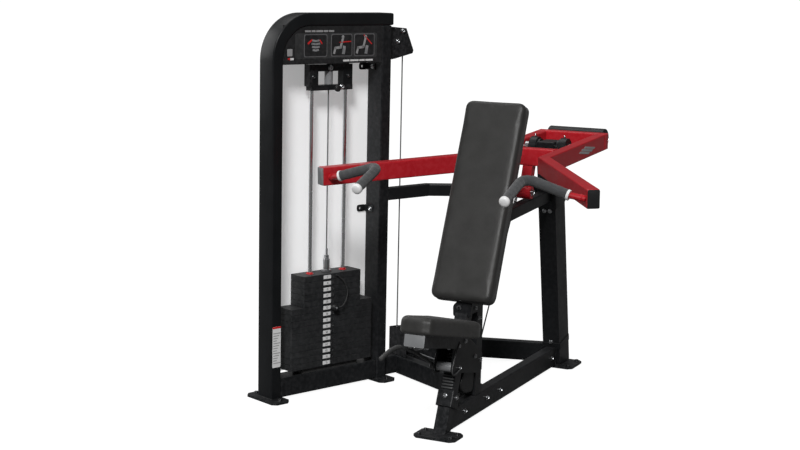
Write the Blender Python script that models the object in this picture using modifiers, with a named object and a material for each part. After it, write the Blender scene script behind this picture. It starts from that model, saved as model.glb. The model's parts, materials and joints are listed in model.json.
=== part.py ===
"""Shoulder press machine: a weight-stack tower, a seat frame and a swinging press arm.

Metres, +Z up.  The user sits facing -Y.  X = 0 is the middle of the seat frame before the
whole machine is moved by DATUM, which puts the middle of its footprint at the origin.
"""
import math

import bmesh
import bpy
from mathutils import Matrix, Vector

# ---------------------------------------------------------------- driving dimensions
DATUM = (0.179711, -0.668101, 0.0)     # moves the design point (0, 0) away from the footprint's middle

GAP = 0.0003                        # clearance between pieces that touch
PLATE_FOOT = 0.010                  # thickness of every foot plate

TOWER_CORNER = (-0.804, 0.113, 0.0)  # front edge of the tower's near face, on the floor
TOWER_TURN = math.radians(-22.5)    # the tower's plane, turned from the seat frame's
TOWER_HEIGHT = 1.600
COLUMN_DEPTH = 0.052                # tower tube, along the tower's plane
COLUMN_WIDTH = 0.094                # tower tube, across the tower's plane
REAR_COLUMN_START = 0.577
ARCH_RADIUS = 0.190                 # outer radius of the bent top corner
ARCH_END = 0.637
STACK_MIDDLE = 0.3235               # place of the lift cable along the tower's plane
MID_WIDTH = -0.047                  # middle of the tower across its plane
ROD_SPACING = 0.179
ROD_RADIUS = 0.009

PLATE_PITCH = 0.0265
PLATE_GAP = 0.0005
PLATE_COUNT = 15
LIFTED_COUNT = 6                    # plates above the selector pin
NARROW_COUNT = 5
STACK_TOP = 0.5095
WIDE_HALF = 0.220
NARROW_HALF = 0.155
BORE_RADIUS = 0.0122
PIN_RADIUS = 0.0045

CABLE_RADIUS = 0.003
PULLEY_LINE = 0.048                 # radius at which the cable's middle lies on a pulley
PULLEY_TOP = 1.527                  # height of the cable's level run in the tower
CABLE_DROP = 0.733                  # place of the falling run along the tower's plane
CABLE_LOW = 0.128                   # height of the level run over the base

SPINE_HALF = 0.0235
TUBE_TOP = 0.095                    # top of the base tubes
COLUMN_HALF = 0.040                 # rear column, half its width
COLUMN_FRONT = 1.280                # its front face on the floor
COLUMN_SLOPE = 0.187                # how far it leans forward for each metre up
COLUMN_THICK = 0.125
COLUMN_TOP = 1.052

PIVOT = (0.0, 1.150, 1.018)         # axis of the press arm, along X
ARM_TILT = math.radians(2.79)       # the arm falls to the front at rest
ARM_HALF_HEIGHT = 0.0367
ARM_WIDTH = 0.0484
ARM_SPREAD = math.radians(34.5)     # each arm opens by this from the seat frame's line
ARM_END = (0.567, 0.0875)           # middle of an arm's front end, in plan
SIDE_LINE = 0.141                   # X of the arm's side rails
RAIL_END = 1.417
CABLE_PIN = (-0.2906, -0.148)       # the cable lever's boss, from the pivot, in the arm's frame

LEAN = math.radians(23.0)           # seat post
POST_FRONT = 0.022
POST_DEPTH = 0.050
POST_HALF = 0.026
BACK_LEAN = math.radians(22.7)
BACK_BOTTOM = (0.0, 0.184, 0.508)   # lower front edge of the backrest pad
BACK_LENGTH = 0.830
PAD_THICK = 0.053
BOARD_THICK = 0.012
SEAT_TILT = math.radians(12.3)
SEAT_BACK = (0.0, 0.135, 0.3775)    # lower rear edge of the seat pad
SEAT_LENGTH = 0.372
SEAT_THICK = 0.065
LEVER_AXIS = (0.072, 0.268)

TO_SIDE = (math.radians(90), 0.0, math.radians(90))   # turns an outline (a, b) into (Y, Z)


# ---------------------------------------------------------------- scene, materials
for old in list(bpy.data.objects):
    bpy.data.objects.remove(old, do_unlink=True)

PARTS = bpy.data.collections.new("shoulder_press_machine")
CUTTERS = bpy.data.collections.new("cutters")
bpy.context.scene.collection.children.link(PARTS)
bpy.context.scene.collection.children.link(CUTTERS)


def material(name, colour, roughness, metallic=0.0):
    made = bpy.data.materials.new(name)
    made.use_nodes = True
    shader = made.node_tree.nodes["Principled BSDF"]
    shader.inputs["Base Color"].default_value = (*colour, 1.0)
    shader.inputs["Roughness"].default_value = roughness
    shader.inputs["Metallic"].default_value = metallic
    return made


BLACK_PAINT = material("black_paint", (0.014, 0.015, 0.017), 0.38)
RED_PAINT = material("red_paint", (0.36, 0.012, 0.018), 0.34)
CHROME = material("chrome", (0.62, 0.63, 0.64), 0.14, 1.0)
IRON = material("stack_iron", (0.035, 0.036, 0.038), 0.55)
VINYL = material("vinyl", (0.045, 0.045, 0.043), 0.5)
FOAM = material("grip_foam", (0.05, 0.052, 0.054), 0.85)
PLASTIC = material("black_plastic", (0.02, 0.02, 0.022), 0.45)
SHROUD = material("shroud_sheet", (0.78, 0.79, 0.80), 0.4)
CABLE = material("cable_jacket", (0.12, 0.12, 0.125), 0.4)
RUBBER = material("rubber", (0.03, 0.03, 0.03), 0.8)
STEEL = material("zinc_steel", (0.45, 0.46, 0.47), 0.3, 1.0)


# ---------------------------------------------------------------- helpers
def add(name, data, finish, parent, place=(0, 0, 0), turn=(0, 0, 0), collection=PARTS):
    made = bpy.data.objects.new(name, data)
    made.location = place
    made.rotation_euler = turn
    made.parent = parent
    collection.objects.link(made)
    if finish:
        made.data.materials.append(finish)
    if collection is CUTTERS:
        made.hide_render = True
        made.display_type = "WIRE"
    return made


def empty(name, place, turn=(0, 0, 0), parent=None):
    made = bpy.data.objects.new(name, None)
    made.location = place
    made.rotation_euler = turn
    made.parent = parent
    PARTS.objects.link(made)
    return made


def finish_mesh(work, name, smooth_angle=None):
    mesh = bpy.data.meshes.new(name)
    work.to_mesh(mesh)
    work.free()
    if smooth_angle:
        mesh.shade_smooth()
        mesh.set_sharp_from_angle(angle=smooth_angle)
    return mesh


def round_edges(target, width, steps=2):
    bevel = target.modifiers.new("round_edges", "BEVEL")
    bevel.width = width
    bevel.segments = steps
    bevel.limit_method = "ANGLE"
    bevel.angle_limit = math.radians(50)
    return target


def block(name, low, high, finish, parent, rounding=0.0, turn=(0, 0, 0), collection=PARTS):
    """A box between two corners given in the parent's own axes."""
    low, high = Vector(low), Vector(high)
    work = bmesh.new()
    bmesh.ops.create_cube(work, size=1.0)
    bmesh.ops.scale(work, vec=high - low, verts=work.verts)
    made = add(name, finish_mesh(work, name), finish, parent, (low + high) / 2, turn, collection)
    return round_edges(made, rounding) if rounding else made


def rod(name, start, end, radius, finish, parent, sides=20, collection=PARTS):
    """A round bar from one point to another."""
    start, end = Vector(start), Vector(end)
    work = bmesh.new()
    bmesh.ops.create_cone(work, cap_ends=True, segments=sides, radius1=radius, radius2=radius,
                          depth=(end - start).length)
    made = add(name, finish_mesh(work, name, math.radians(40)), finish, parent,
               (start + end) / 2, (0, 0, 0), collection)
    made.rotation_euler = (end - start).to_track_quat("Z", "Y").to_euler()
    return made


def flat(name, outlines, thickness, finish, parent, place=(0, 0, 0), turn=(0, 0, 0),
         collection=PARTS):
    """A flat outline, with any holes after it, extruded both ways from its plane."""
    curve = bpy.data.curves.new(name, "CURVE")
    curve.dimensions = "2D"
    curve.fill_mode = "BOTH"
    curve.extrude = thickness / 2
    for outline in outlines:
        spline = curve.splines.new("POLY")
        spline.points.add(len(outline) - 1)
        spline.use_cyclic_u = True
        for point, (a, b) in zip(spline.points, outline):
            point.co = (a, b, 0.0, 1.0)
    return add(name, curve, finish, parent, place, turn, collection)


def bar(name, points, radius, finish, parent, resolution=3, collection=PARTS):
    """A round tube through the given points."""
    curve = bpy.data.curves.new(name, "CURVE")
    curve.dimensions = "3D"
    curve.bevel_depth = radius
    curve.bevel_resolution = resolution
    curve.use_fill_caps = True
    spline = curve.splines.new("POLY")
    spline.points.add(len(points) - 1)
    for point, place in zip(spline.points, points):
        point.co = (*place, 1.0)
    spline.use_smooth = True
    return add(name, curve, finish, parent, collection=collection)


def as_mesh(source):
    """Replaces a curve object by the mesh it makes, with its caps welded on."""
    graph = bpy.context.evaluated_depsgraph_get()
    graph.update()
    mesh = bpy.data.meshes.new_from_object(source.evaluated_get(graph))
    work = bmesh.new()
    work.from_mesh(mesh)
    bmesh.ops.remove_doubles(work, verts=work.verts, dist=0.00002)
    bmesh.ops.recalc_face_normals(work, faces=work.faces)
    work.to_mesh(mesh)
    work.free()
    name, parent, collection = source.name, source.parent, source.users_collection[0]
    place, turn = source.location.copy(), source.rotation_euler.copy()
    bpy.data.objects.remove(source, do_unlink=True)
    made = add(name, mesh, None, parent, place, turn, collection)
    return made


def combine(target, other, operation):
    step = target.modifiers.new(operation.lower(), "BOOLEAN")
    step.operation = operation
    step.solver = "EXACT"
    step.object = other
    return target


def circle(middle, radius, sides):
    step = 2 * math.pi / sides
    return [(middle[0] + radius * math.cos(step * k), middle[1] + radius * math.sin(step * k))
            for k in range(sides)]


def arc(middle, radius, start, end, steps):
    """Points on an arc, angles in degrees."""
    angles = [math.radians(start + (end - start) * k / steps) for k in range(steps + 1)]
    return [(middle[0] + radius * math.cos(a), middle[1] + radius * math.sin(a)) for a in angles]


def ribbon(path, width, start_cut=None, end_cut=None):
    """Outline of a strip along a path in plan: mitred at bends, ends cut square or along a line."""
    path = [Vector(p) for p in path]
    ways = [(b - a).normalized() for a, b in zip(path, path[1:])]
    cuts = [Vector(start_cut) if start_cut else Vector((-ways[0].y, ways[0].x))]
    for first, second in zip(ways, ways[1:]):
        mean = (first + second).normalized()
        cuts.append(Vector((-mean.y, mean.x)))
    cuts.append(Vector(end_cut) if end_cut else Vector((-ways[-1].y, ways[-1].x)))
    left, right = [], []
    for point, cut, way in zip(path, cuts, ways + [ways[-1]]):
        side = Vector((-way.y, way.x))
        reach = cut.normalized() * (width / 2 / cut.normalized().dot(side))
        left.append(tuple(point + reach))
        right.append(tuple(point - reach))
    return left + right[::-1]


def lean_frame(name, place, angle, parent):
    """An empty whose Z leans back by an angle and whose Y points back, square to it."""
    return empty(name, place, (-angle, 0.0, 0.0), parent)


# ---------------------------------------------------------------- shared frames
machine = empty("machine", DATUM)
tower = empty("tower", TOWER_CORNER, (0.0, 0.0, TOWER_TURN), machine)
arm_pivot = empty("arm_pivot", PIVOT, (ARM_TILT, 0.0, 0.0), machine)
post_axes = lean_frame("post_axes", (0.0, POST_FRONT, 0.0), LEAN, machine)
back_axes = lean_frame("back_axes", BACK_BOTTOM, BACK_LEAN, machine)
seat_axes = empty("seat_axes", SEAT_BACK, (-SEAT_TILT, 0.0, 0.0), machine)


def tower_point(along, across, height):
    """A tower point, in the machine's axes."""
    turn = TOWER_TURN
    x = TOWER_CORNER[0] + across * math.cos(turn) - along * math.sin(turn)
    y = TOWER_CORNER[1] + across * math.sin(turn) + along * math.cos(turn)
    return Vector((x, y, height))


# ---------------------------------------------------------------- tower
def tower_frame():
    outer = ARCH_RADIUS
    inner = ARCH_RADIUS - COLUMN_DEPTH
    middle = (outer, TOWER_HEIGHT - outer)
    outline = [(0.0, PLATE_FOOT + GAP)]
    outline += arc(middle, outer, 180, 90, 10)
    outline += [(ARCH_END, TOWER_HEIGHT), (ARCH_END, TOWER_HEIGHT - COLUMN_DEPTH)]
    outline += arc(middle, inner, 90, 180, 10)
    outline += [(COLUMN_DEPTH, PLATE_FOOT + GAP)]
    arch = as_mesh(flat("tower_arch", [outline], COLUMN_WIDTH, BLACK_PAINT, tower,
                        (MID_WIDTH, 0, 0), TO_SIDE))
    round_edges(arch, 0.005)

    start, end = REAR_COLUMN_START, REAR_COLUMN_START + COLUMN_DEPTH
    column = block("tower_rear_column", (-COLUMN_WIDTH, start, PLATE_FOOT + GAP),
                   (0.0, end, TOWER_HEIGHT - COLUMN_DEPTH - GAP), BLACK_PAINT, tower, 0.005)
    hole = rod("cable_hole", (MID_WIDTH, start - 0.02, PULLEY_TOP),
               (MID_WIDTH, end + 0.02, PULLEY_TOP), 0.008, None, tower, 12, CUTTERS)
    combine(column, hole, "DIFFERENCE")

    block("tower_base_tube", (-0.088, COLUMN_DEPTH + GAP, PLATE_FOOT), (-0.004, start - GAP, 0.092),
          BLACK_PAINT, tower, 0.005)
    for name, low in (("tower_foot_front", -0.025), ("tower_foot_rear", 0.560)):
        foot_plate(name, -0.149, 0.055, low, low + 0.090, tower)


def foot_plate(name, x_low, x_high, y_low, y_high, parent):
    """A floor plate with clipped corners."""
    clip = 0.018
    outline = [(x_low + clip, y_low), (x_high - clip, y_low), (x_high, y_low + clip),
               (x_high, y_high - clip), (x_high - clip, y_high), (x_low + clip, y_high),
               (x_low, y_high - clip), (x_low, y_low + clip)]
    flat(name, [outline], PLATE_FOOT, BLACK_PAINT, parent, (0, 0, PLATE_FOOT / 2))


def tower_covers():
    corner = (ARCH_RADIUS, TOWER_HEIGHT - ARCH_RADIUS)
    edge = 0.0005
    low = 1.393
    inner = ARCH_RADIUS - COLUMN_DEPTH - edge
    outline = [(COLUMN_DEPTH + edge, low)] + arc(corner, inner, 180, 90, 10)
    outline += [(REAR_COLUMN_START - edge, TOWER_HEIGHT - COLUMN_DEPTH - edge),
                (REAR_COLUMN_START - edge, low)]
    flat("instruction_placard", [outline], 0.003, PLASTIC, tower, (-0.0045, 0, 0), TO_SIDE)

    outline = [(0.012, 0.096)] + arc((0.172, 1.380), 0.160, 180, 90, 8)
    outline += [(0.617, 1.540), (0.617, 0.096)]
    flat("shroud_panel", [outline], 0.003, SHROUD, tower, (-0.099, 0, 0), TO_SIDE)


def guide_rods():
    for name, offset in (("guide_rod_front", -0.5), ("guide_rod_rear", 0.5)):
        along = STACK_MIDDLE + offset * ROD_SPACING
        rod(name, (MID_WIDTH, along, 0.0923), (MID_WIDTH, along, 1.2807), ROD_RADIUS, CHROME, tower, 16)
    holes = [circle((MID_WIDTH, STACK_MIDDLE + side * ROD_SPACING / 2), ROD_RADIUS + GAP, 16)
             for side in (-1, 1)]
    low, high = STACK_MIDDLE - 0.150, STACK_MIDDLE + 0.150
    outline = [(-0.080, low), (-0.014, low), (-0.014, high), (-0.080, high)]
    base = 0.0923
    top = STACK_TOP - PLATE_COUNT * PLATE_PITCH
    flat("stack_plinth", [outline] + holes, top - base - GAP, RUBBER, tower, (0, 0, (top + base) / 2))


def rod_top_block():
    """Holds the rods' upper ends and, on its two cheeks, the pulley over the stack."""
    low, high = 0.209, 0.439
    hanger = block("rod_top_block", (-0.0650, low + 0.010, 1.281), (-0.0290, high, 1.303),
                   BLACK_PAINT, tower)
    pieces = [((-0.0648, low, 1.2985), (-0.0292, 0.255, 1.3890)),
              ((-0.0648, 0.388, 1.2990), (-0.0292, high - 0.001, 1.3885)),
              ((-0.0646, low + 0.01, 1.3600), (-0.0294, high - 0.02, 1.3880))]
    cheek = 0.0175
    for side in (-1, 1):
        near = MID_WIDTH + side * cheek
        far = MID_WIDTH + side * (cheek + 0.005)
        pieces.append(((min(near, far), 0.330, 1.375), (max(near, far), 0.415, 1.5477)))
    for number, (a, b) in enumerate(pieces):
        part = block(f"hanger_piece_{number}", a, b, None, tower, collection=CUTTERS)
        combine(hanger, part, "UNION")
    way = rod("hanger_cable_way", (MID_WIDTH, STACK_MIDDLE, 1.25), (MID_WIDTH, STACK_MIDDLE, 1.45),
              0.0115, None, tower, 16, CUTTERS)
    combine(hanger, way, "DIFFERENCE")


# ---------------------------------------------------------------- weight stack
def plate_outline(half):
    return [(-0.0935, STACK_MIDDLE - half), (-0.0010, STACK_MIDDLE - half),
            (-0.0010, STACK_MIDDLE + half), (-0.0935, STACK_MIDDLE + half)]


def plate_bores():
    bores = [circle((MID_WIDTH, STACK_MIDDLE + side * ROD_SPACING / 2), ROD_RADIUS + 0.001, 16)
             for side in (-1, 1)]
    bores.append(circle((MID_WIDTH, STACK_MIDDLE), BORE_RADIUS, 16))
    return bores


def plate_middle(number):
    return STACK_TOP - (number - 0.5) * PLATE_PITCH


def pin_hole(number):
    height = plate_middle(number)
    return rod(f"pin_hole_{number:02d}", (0.01, STACK_MIDDLE, height), (-0.060, STACK_MIDDLE, height),
               PIN_RADIUS + GAP, None, tower, 10, CUTTERS)


def weight_plates():
    for number in range(1, LIFTED_COUNT + 1):
        half = NARROW_HALF if number <= NARROW_COUNT else WIDE_HALF
        plate = as_mesh(flat(f"weight_plate_{number:02d}", [plate_outline(half)] + plate_bores(),
                             PLATE_PITCH - PLATE_GAP, IRON, tower, (0, 0, plate_middle(number))))
        combine(plate, pin_hole(number), "DIFFERENCE")
    resting_plates()


def resting_plates():
    """The plates under the pin stay down in every movement, so they are one solid."""
    first = LIFTED_COUNT + 1
    top = plate_middle(first) + (PLATE_PITCH - PLATE_GAP) / 2
    bottom = plate_middle(PLATE_COUNT) - (PLATE_PITCH - PLATE_GAP) / 2
    flat(f"weight_plates_{first:02d}_to_{PLATE_COUNT}", [plate_outline(WIDE_HALF)] + plate_bores(),
         top - bottom, IRON, tower, (0, 0, (top + bottom) / 2))


def selector():
    low = plate_middle(PLATE_COUNT) - 0.006
    stem = rod("selector_rod", (MID_WIDTH, STACK_MIDDLE, low), (MID_WIDTH, STACK_MIDDLE, STACK_TOP),
               0.011, STEEL, tower, 16)
    height = plate_middle(LIFTED_COUNT)
    hole = rod("stem_hole", (0.0, STACK_MIDDLE, height), (-0.1, STACK_MIDDLE, height),
               PIN_RADIUS + GAP, None, tower, 10, CUTTERS)
    combine(stem, hole, "DIFFERENCE")
    turned("cable_fitting", [(0.0125, 0.060), (0.0125, 0.004), (0.014, 0.0003)], CHROME,
           (MID_WIDTH, STACK_MIDDLE, STACK_TOP), tower, 16,
           inner=[(0.0, 0.0003)], top=[(0.0, 0.1), (0.006, 0.1), (0.006, 0.062)])
    turned("selector_pin", [(0.004, 0.085), (PIN_RADIUS, 0.081), (PIN_RADIUS, 0.026), (0.010, 0.024),
                            (0.0135, 0.016), (0.0135, 0.004), (0.010, 0.0)], PLASTIC,
           (0.0275, STACK_MIDDLE, height), tower, 14, turn=(0.0, math.radians(-90), 0.0),
           inner=[(0.0, 0.0)], top=[(0.0, 0.085)])
    lanyard_points = curve_through([(0.0070, STACK_MIDDLE + 0.020, 0.4985),
                                    (0.0100, STACK_MIDDLE + 0.052, 0.4700),
                                    (0.0130, STACK_MIDDLE + 0.070, 0.4250),
                                    (0.0160, STACK_MIDDLE + 0.058, 0.3850),
                                    (0.0190, STACK_MIDDLE + 0.036, 0.3660),
                                    (0.0200, STACK_MIDDLE + 0.0172, 0.3640)], 5)
    bar("pin_lanyard", lanyard_points, 0.0022, RUBBER, tower, 2)


def curve_through(points, steps):
    """A smooth curve through hand-set points, read off at even steps."""
    points = [Vector(p) for p in points]
    padded = [2 * points[0] - points[1]] + points + [2 * points[-1] - points[-2]]
    found = []
    for a, b, c, d in zip(padded, padded[1:], padded[2:], padded[3:]):
        for k in range(steps):
            t = k / steps
            found.append(0.5 * (2 * b + (c - a) * t + (2 * a - 5 * b + 4 * c - d) * t * t
                                + (3 * b - a - 3 * c + d) * t ** 3))
    return found + [points[-1]]


def turned(name, outer, finish, place, parent, steps, turn=(0, 0, 0), inner=(), top=()):
    """A turned piece: its profile runs down the outer side, closed through the axis."""
    profile = list(top) + list(outer) + list(inner)
    work = bmesh.new()
    points = [work.verts.new((radius, 0.0, height)) for radius, height in profile]
    for a, b in zip(points, points[1:]):
        work.edges.new((a, b))
    made = add(name, finish_mesh(work, name), finish, parent, place, turn)
    screw = made.modifiers.new("turn", "SCREW")
    screw.axis = "Z"
    screw.steps = steps
    screw.render_steps = steps
    screw.use_merge_vertices = True
    screw.merge_threshold = 0.00001
    screw.use_smooth_shade = True
    return made


# ---------------------------------------------------------------- cable and pulleys
def lift_route():
    """Corners of the lift cable, in the machine's axes, from the stack to the press arm."""
    fitting = tower_point(STACK_MIDDLE, MID_WIDTH, STACK_TOP + 0.1005)
    over_stack = tower_point(STACK_MIDDLE, MID_WIDTH, PULLEY_TOP)
    over_drop = tower_point(CABLE_DROP, MID_WIDTH, PULLEY_TOP)
    tower_base = tower_point(CABLE_DROP, MID_WIDTH, CABLE_LOW)
    seat_base = Vector((-0.077, 0.5214, CABLE_LOW))
    lever_end = arm_point(-0.0345, *CABLE_PIN)
    return [fitting, over_stack, over_drop, tower_base, seat_base, lever_end]


def arm_point(x, y, z):
    """A point of the press arm's frame at rest, in the machine's axes."""
    cos, sin = math.cos(ARM_TILT), math.sin(ARM_TILT)
    return Vector((x, PIVOT[1] + y * cos - z * sin, PIVOT[2] + y * sin + z * cos))


def bend(before, corner, after, radius, steps):
    """The pulley a cable bends round at a corner: its middle, its axis and the cable's points."""
    way_in = (corner - before).normalized()
    way_out = (after - corner).normalized()
    turn = way_in.angle(way_out)
    axis = way_in.cross(way_out).normalized()
    start = corner - way_in * radius * math.tan(turn / 2)
    middle = start + axis.cross(way_in) * radius
    spoke = start - middle
    points = []
    for k in range(steps + 1):
        angle = turn * k / steps
        points.append(middle + spoke * math.cos(angle) + axis.cross(spoke) * math.sin(angle))
    return middle, axis, points


def cables_and_pulleys():
    route = lift_route()
    names = ("pulley_over_stack", "pulley_over_drop", "pulley_tower_base", "pulley_seat_base")
    bends = [bend(*route[k:k + 3], PULLEY_LINE, 8) for k in range(4)]
    for name, (middle, axis, _) in zip(names, bends):
        pulley(name, middle, axis)
    points = []
    for _, _, arc_points in bends:
        points += arc_points
    run = (route[-1] - points[-1]) / 3
    points += [points[-1] + run, points[-1] + 2 * run, route[-1]]
    bar("lift_cable", points, CABLE_RADIUS, CABLE, machine, 2)
    top = points[0] - Vector((0.0, 0.0, GAP))
    bar("stack_cable", [route[0], top], CABLE_RADIUS, CABLE, machine, 2)


def pulley(name, middle, axis):
    rim, root, half = 0.0530, 0.0436, 0.0090
    hub = 0.0172
    top = [(0.0, hub), (0.011, hub), (0.013, half), (rim, half)]
    made = turned(name, [(rim, 0.0066), (root, 0.0036), (root, -0.0036), (rim, -0.0066)], PLASTIC,
                  middle, machine, 20, top=top,
                  inner=[(rim, -half), (0.013, -half), (0.011, -hub), (0.0, -hub)])
    made.rotation_euler = Vector(axis).to_track_quat("Z", "Y").to_euler()


def drop_bracket():
    """Two cheeks on the rear column, with the pulley for the falling run between them."""
    start = REAR_COLUMN_START + COLUMN_DEPTH + GAP
    outline = [(start, 1.400), (0.668, 1.404), (0.772, 1.426), (0.777, 1.439), (0.734, 1.534),
               (start, 1.543)]
    web = block("drop_pulley_bracket", (MID_WIDTH - 0.0200, start, 1.4005),
                (MID_WIDTH + 0.0200, start + 0.006, 1.423), BLACK_PAINT, tower)
    for side in (-1, 1):
        cheek = as_mesh(flat(f"cheek_{side}", [outline], 0.005, None, tower,
                             (MID_WIDTH + side * 0.0200, 0, 0), TO_SIDE, CUTTERS))
        combine(web, cheek, "UNION")


def lower_pulley_guard():
    """A U-shaped guard round the tower's lower pulley."""
    route = lift_route()
    level = (route[4] - route[3]).normalized()
    heading = math.atan2(level.y, level.x)
    guard = empty("guard_axes", (route[3].x, route[3].y, 0.0), (0, 0, heading), machine)
    inner, outer, back, front = 0.0180, 0.0225, -0.022, 0.105
    outline = [(back - 0.0045, -outer), (front, -outer), (front, -inner), (back, -inner),
               (back, inner), (front, inner), (front, outer), (back - 0.0045, outer)]
    low, high = 0.0955, 0.212
    flat("tower_pulley_guard", [outline], high - low, BLACK_PAINT, guard, (0, 0, (high + low) / 2))


def seat_pulley_bracket():
    """A cheek that stands on the diagonal tube and carries the pulley behind the seat."""
    route = lift_route()
    middle, axis, _ = bend(*route[3:6], PULLEY_LINE, 8)
    level = (route[4] - route[3]).normalized()
    axes = Matrix((level, Vector(axis).cross(level), axis)).transposed()
    cradle = empty("cradle_axes", middle, axes.to_euler(), machine)
    half, low, high = 0.016, -0.0770, 0.016
    outline = [(-2 * half, low), (2 * half, low), (2 * half, low + 0.012), (half, -0.002), (half, high),
               (-half, high), (-half, -0.002), (-2 * half, low + 0.012)]
    flat("seat_pulley_bracket", [outline], 0.005, BLACK_PAINT, cradle, (0, 0, -0.0201))


# ---------------------------------------------------------------- base and rear column
def base_frame():
    level = (lift_route()[4] - lift_route()[3]).normalized()
    half_height = (TUBE_TOP - PLATE_FOOT) / 2
    middle_z = PLATE_FOOT + half_height

    back_at = POST_FRONT + POST_DEPTH / math.cos(LEAN) + 0.0006
    slope = math.tan(LEAN)
    outline = [(back_at + slope * PLATE_FOOT, PLATE_FOOT), (back_at + slope * TUBE_TOP, TUBE_TOP),
               (COLUMN_FRONT - COLUMN_SLOPE * TUBE_TOP - 0.0005, TUBE_TOP),
               (COLUMN_FRONT - COLUMN_SLOPE * PLATE_FOOT - 0.0005, PLATE_FOOT)]
    spine = as_mesh(flat("spine_tube", [outline], 2 * SPINE_HALF, BLACK_PAINT, machine, (0, 0, 0),
                         TO_SIDE))
    round_edges(spine, 0.005)

    start = lift_route()[3].to_2d() + level.to_2d() * 0.0275
    along = tower_point(1, 0, 0).to_2d() - tower_point(0, 0, 0).to_2d()
    end = lift_route()[3].to_2d()
    end += level.to_2d() * ((-SPINE_HALF - 0.0006 - end.x) / level.x)
    outline = ribbon([start, end], 0.047, start_cut=along, end_cut=(0.0, 1.0))
    strut = as_mesh(flat("diagonal_base_tube", [outline], 0.082, BLACK_PAINT, machine,
                         (0, 0, PLATE_FOOT + 0.041)))
    round_edges(strut, 0.004)

    cross_way = Vector((-0.966, -0.2584))
    meet = Vector((-COLUMN_HALF - 0.0006, 1.3330))
    far = meet + cross_way * 0.452
    outline = ribbon([meet, far], 0.047, start_cut=(0.0, -1.0))
    cross = as_mesh(flat("rear_cross_tube", [outline], 2 * half_height, BLACK_PAINT, machine,
                         (0, 0, middle_z)))
    round_edges(cross, 0.005)

    side = Vector((-cross_way.y, cross_way.x)).normalized()
    face = meet + side * 0.0240
    origin = tower_point(REAR_COLUMN_START + COLUMN_DEPTH + GAP, MID_WIDTH, 0).to_2d()
    reach = (face - origin).dot(side) / along.dot(side)
    outline = ribbon([origin, origin + along * reach], 0.052, end_cut=cross_way)
    runner = as_mesh(flat("tower_base_extension", [outline], 0.082, BLACK_PAINT, machine,
                          (0, 0, PLATE_FOOT + 0.041)))
    round_edges(runner, 0.004)

    foot_plate("front_foot_plate", -0.088, 0.088, -0.035, 0.078, machine)
    foot_plate("rear_foot_plate", -0.102, 0.102, 1.255, 1.415, machine)


def rear_column():
    def front(z):
        return COLUMN_FRONT - COLUMN_SLOPE * z
    low = PLATE_FOOT + GAP
    outline = [(front(low), low), (front(low) + COLUMN_THICK, low),
               (front(COLUMN_TOP) + COLUMN_THICK, COLUMN_TOP), (front(COLUMN_TOP), COLUMN_TOP)]
    column = as_mesh(flat("rear_column", [outline], 2 * COLUMN_HALF, BLACK_PAINT, machine, (0, 0, 0),
                          TO_SIDE))
    round_edges(column, 0.006)
    bore = rod("axle_bore", (-0.1, *PIVOT[1:]), (0.1, *PIVOT[1:]), 0.0153, None, machine, 20, CUTTERS)
    combine(column, bore, "DIFFERENCE")
    reach = SIDE_LINE - ARM_WIDTH / 2 - 0.0005
    rod("pivot_axle", (-reach, *PIVOT[1:]), (reach, *PIVOT[1:]), 0.0150, STEEL, machine, 20)


def tower_link():
    """Runs back from the near half of the rear column, clear of the cable, then to the seat frame."""
    width, across = 0.037, -0.0205
    start = tower_point(REAR_COLUMN_START + COLUMN_DEPTH + GAP, across, 0).to_2d()
    corner = tower_point(0.877, across, 0).to_2d()
    end = Vector((-COLUMN_HALF - 0.0006, 1.187))
    outline = ribbon([start, corner, end], width, end_cut=(0.0, 1.0))
    link = as_mesh(flat("tower_link_tube", [outline], 0.054, BLACK_PAINT, machine, (0, 0, 0.8215)))
    round_edges(link, 0.005)


# ---------------------------------------------------------------- backrest and seat
def backrest():
    low_half, high_half = 0.134, 0.133
    outline = [(-low_half, 0.0), (low_half, 0.0), (high_half, BACK_LENGTH), (-high_half, BACK_LENGTH)]
    upright = (math.radians(90), 0.0, 0.0)
    pad = as_mesh(flat("backrest_pad", [outline], PAD_THICK, VINYL, back_axes,
                       (0, PAD_THICK / 2, 0), upright))
    round_edges(pad, 0.016, 3)
    inset = 0.012
    outline = [(-low_half + inset, inset), (low_half - inset, inset),
               (high_half - inset, BACK_LENGTH - inset), (inset - high_half, BACK_LENGTH - inset)]
    flat("backrest_board", [outline], BOARD_THICK, BLACK_PAINT, back_axes,
         (0, PAD_THICK + 0.0005 + BOARD_THICK / 2, 0), upright)

    board_back = BACK_BOTTOM[1] + (PAD_THICK + BOARD_THICK + 0.0010) / math.cos(BACK_LEAN)
    slope = math.tan(BACK_LEAN)

    def board_at(z):
        return board_back + slope * (z - BACK_BOTTOM[2])

    def column_at(z):
        return COLUMN_FRONT - COLUMN_SLOPE * z - 0.0005
    rise = 0.054
    front_low, height = 0.7425, 0.052
    back_low = front_low + rise * (column_at(0.78) - board_at(front_low))
    outline = [(board_at(front_low), front_low), (column_at(back_low), back_low),
               (column_at(back_low + height), back_low + height),
               (board_at(front_low + height), front_low + height)]
    beam = as_mesh(flat("backrest_support_tube", [outline], 0.044, BLACK_PAINT, machine, (0, 0, 0),
                        TO_SIDE))
    round_edges(beam, 0.004)


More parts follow.
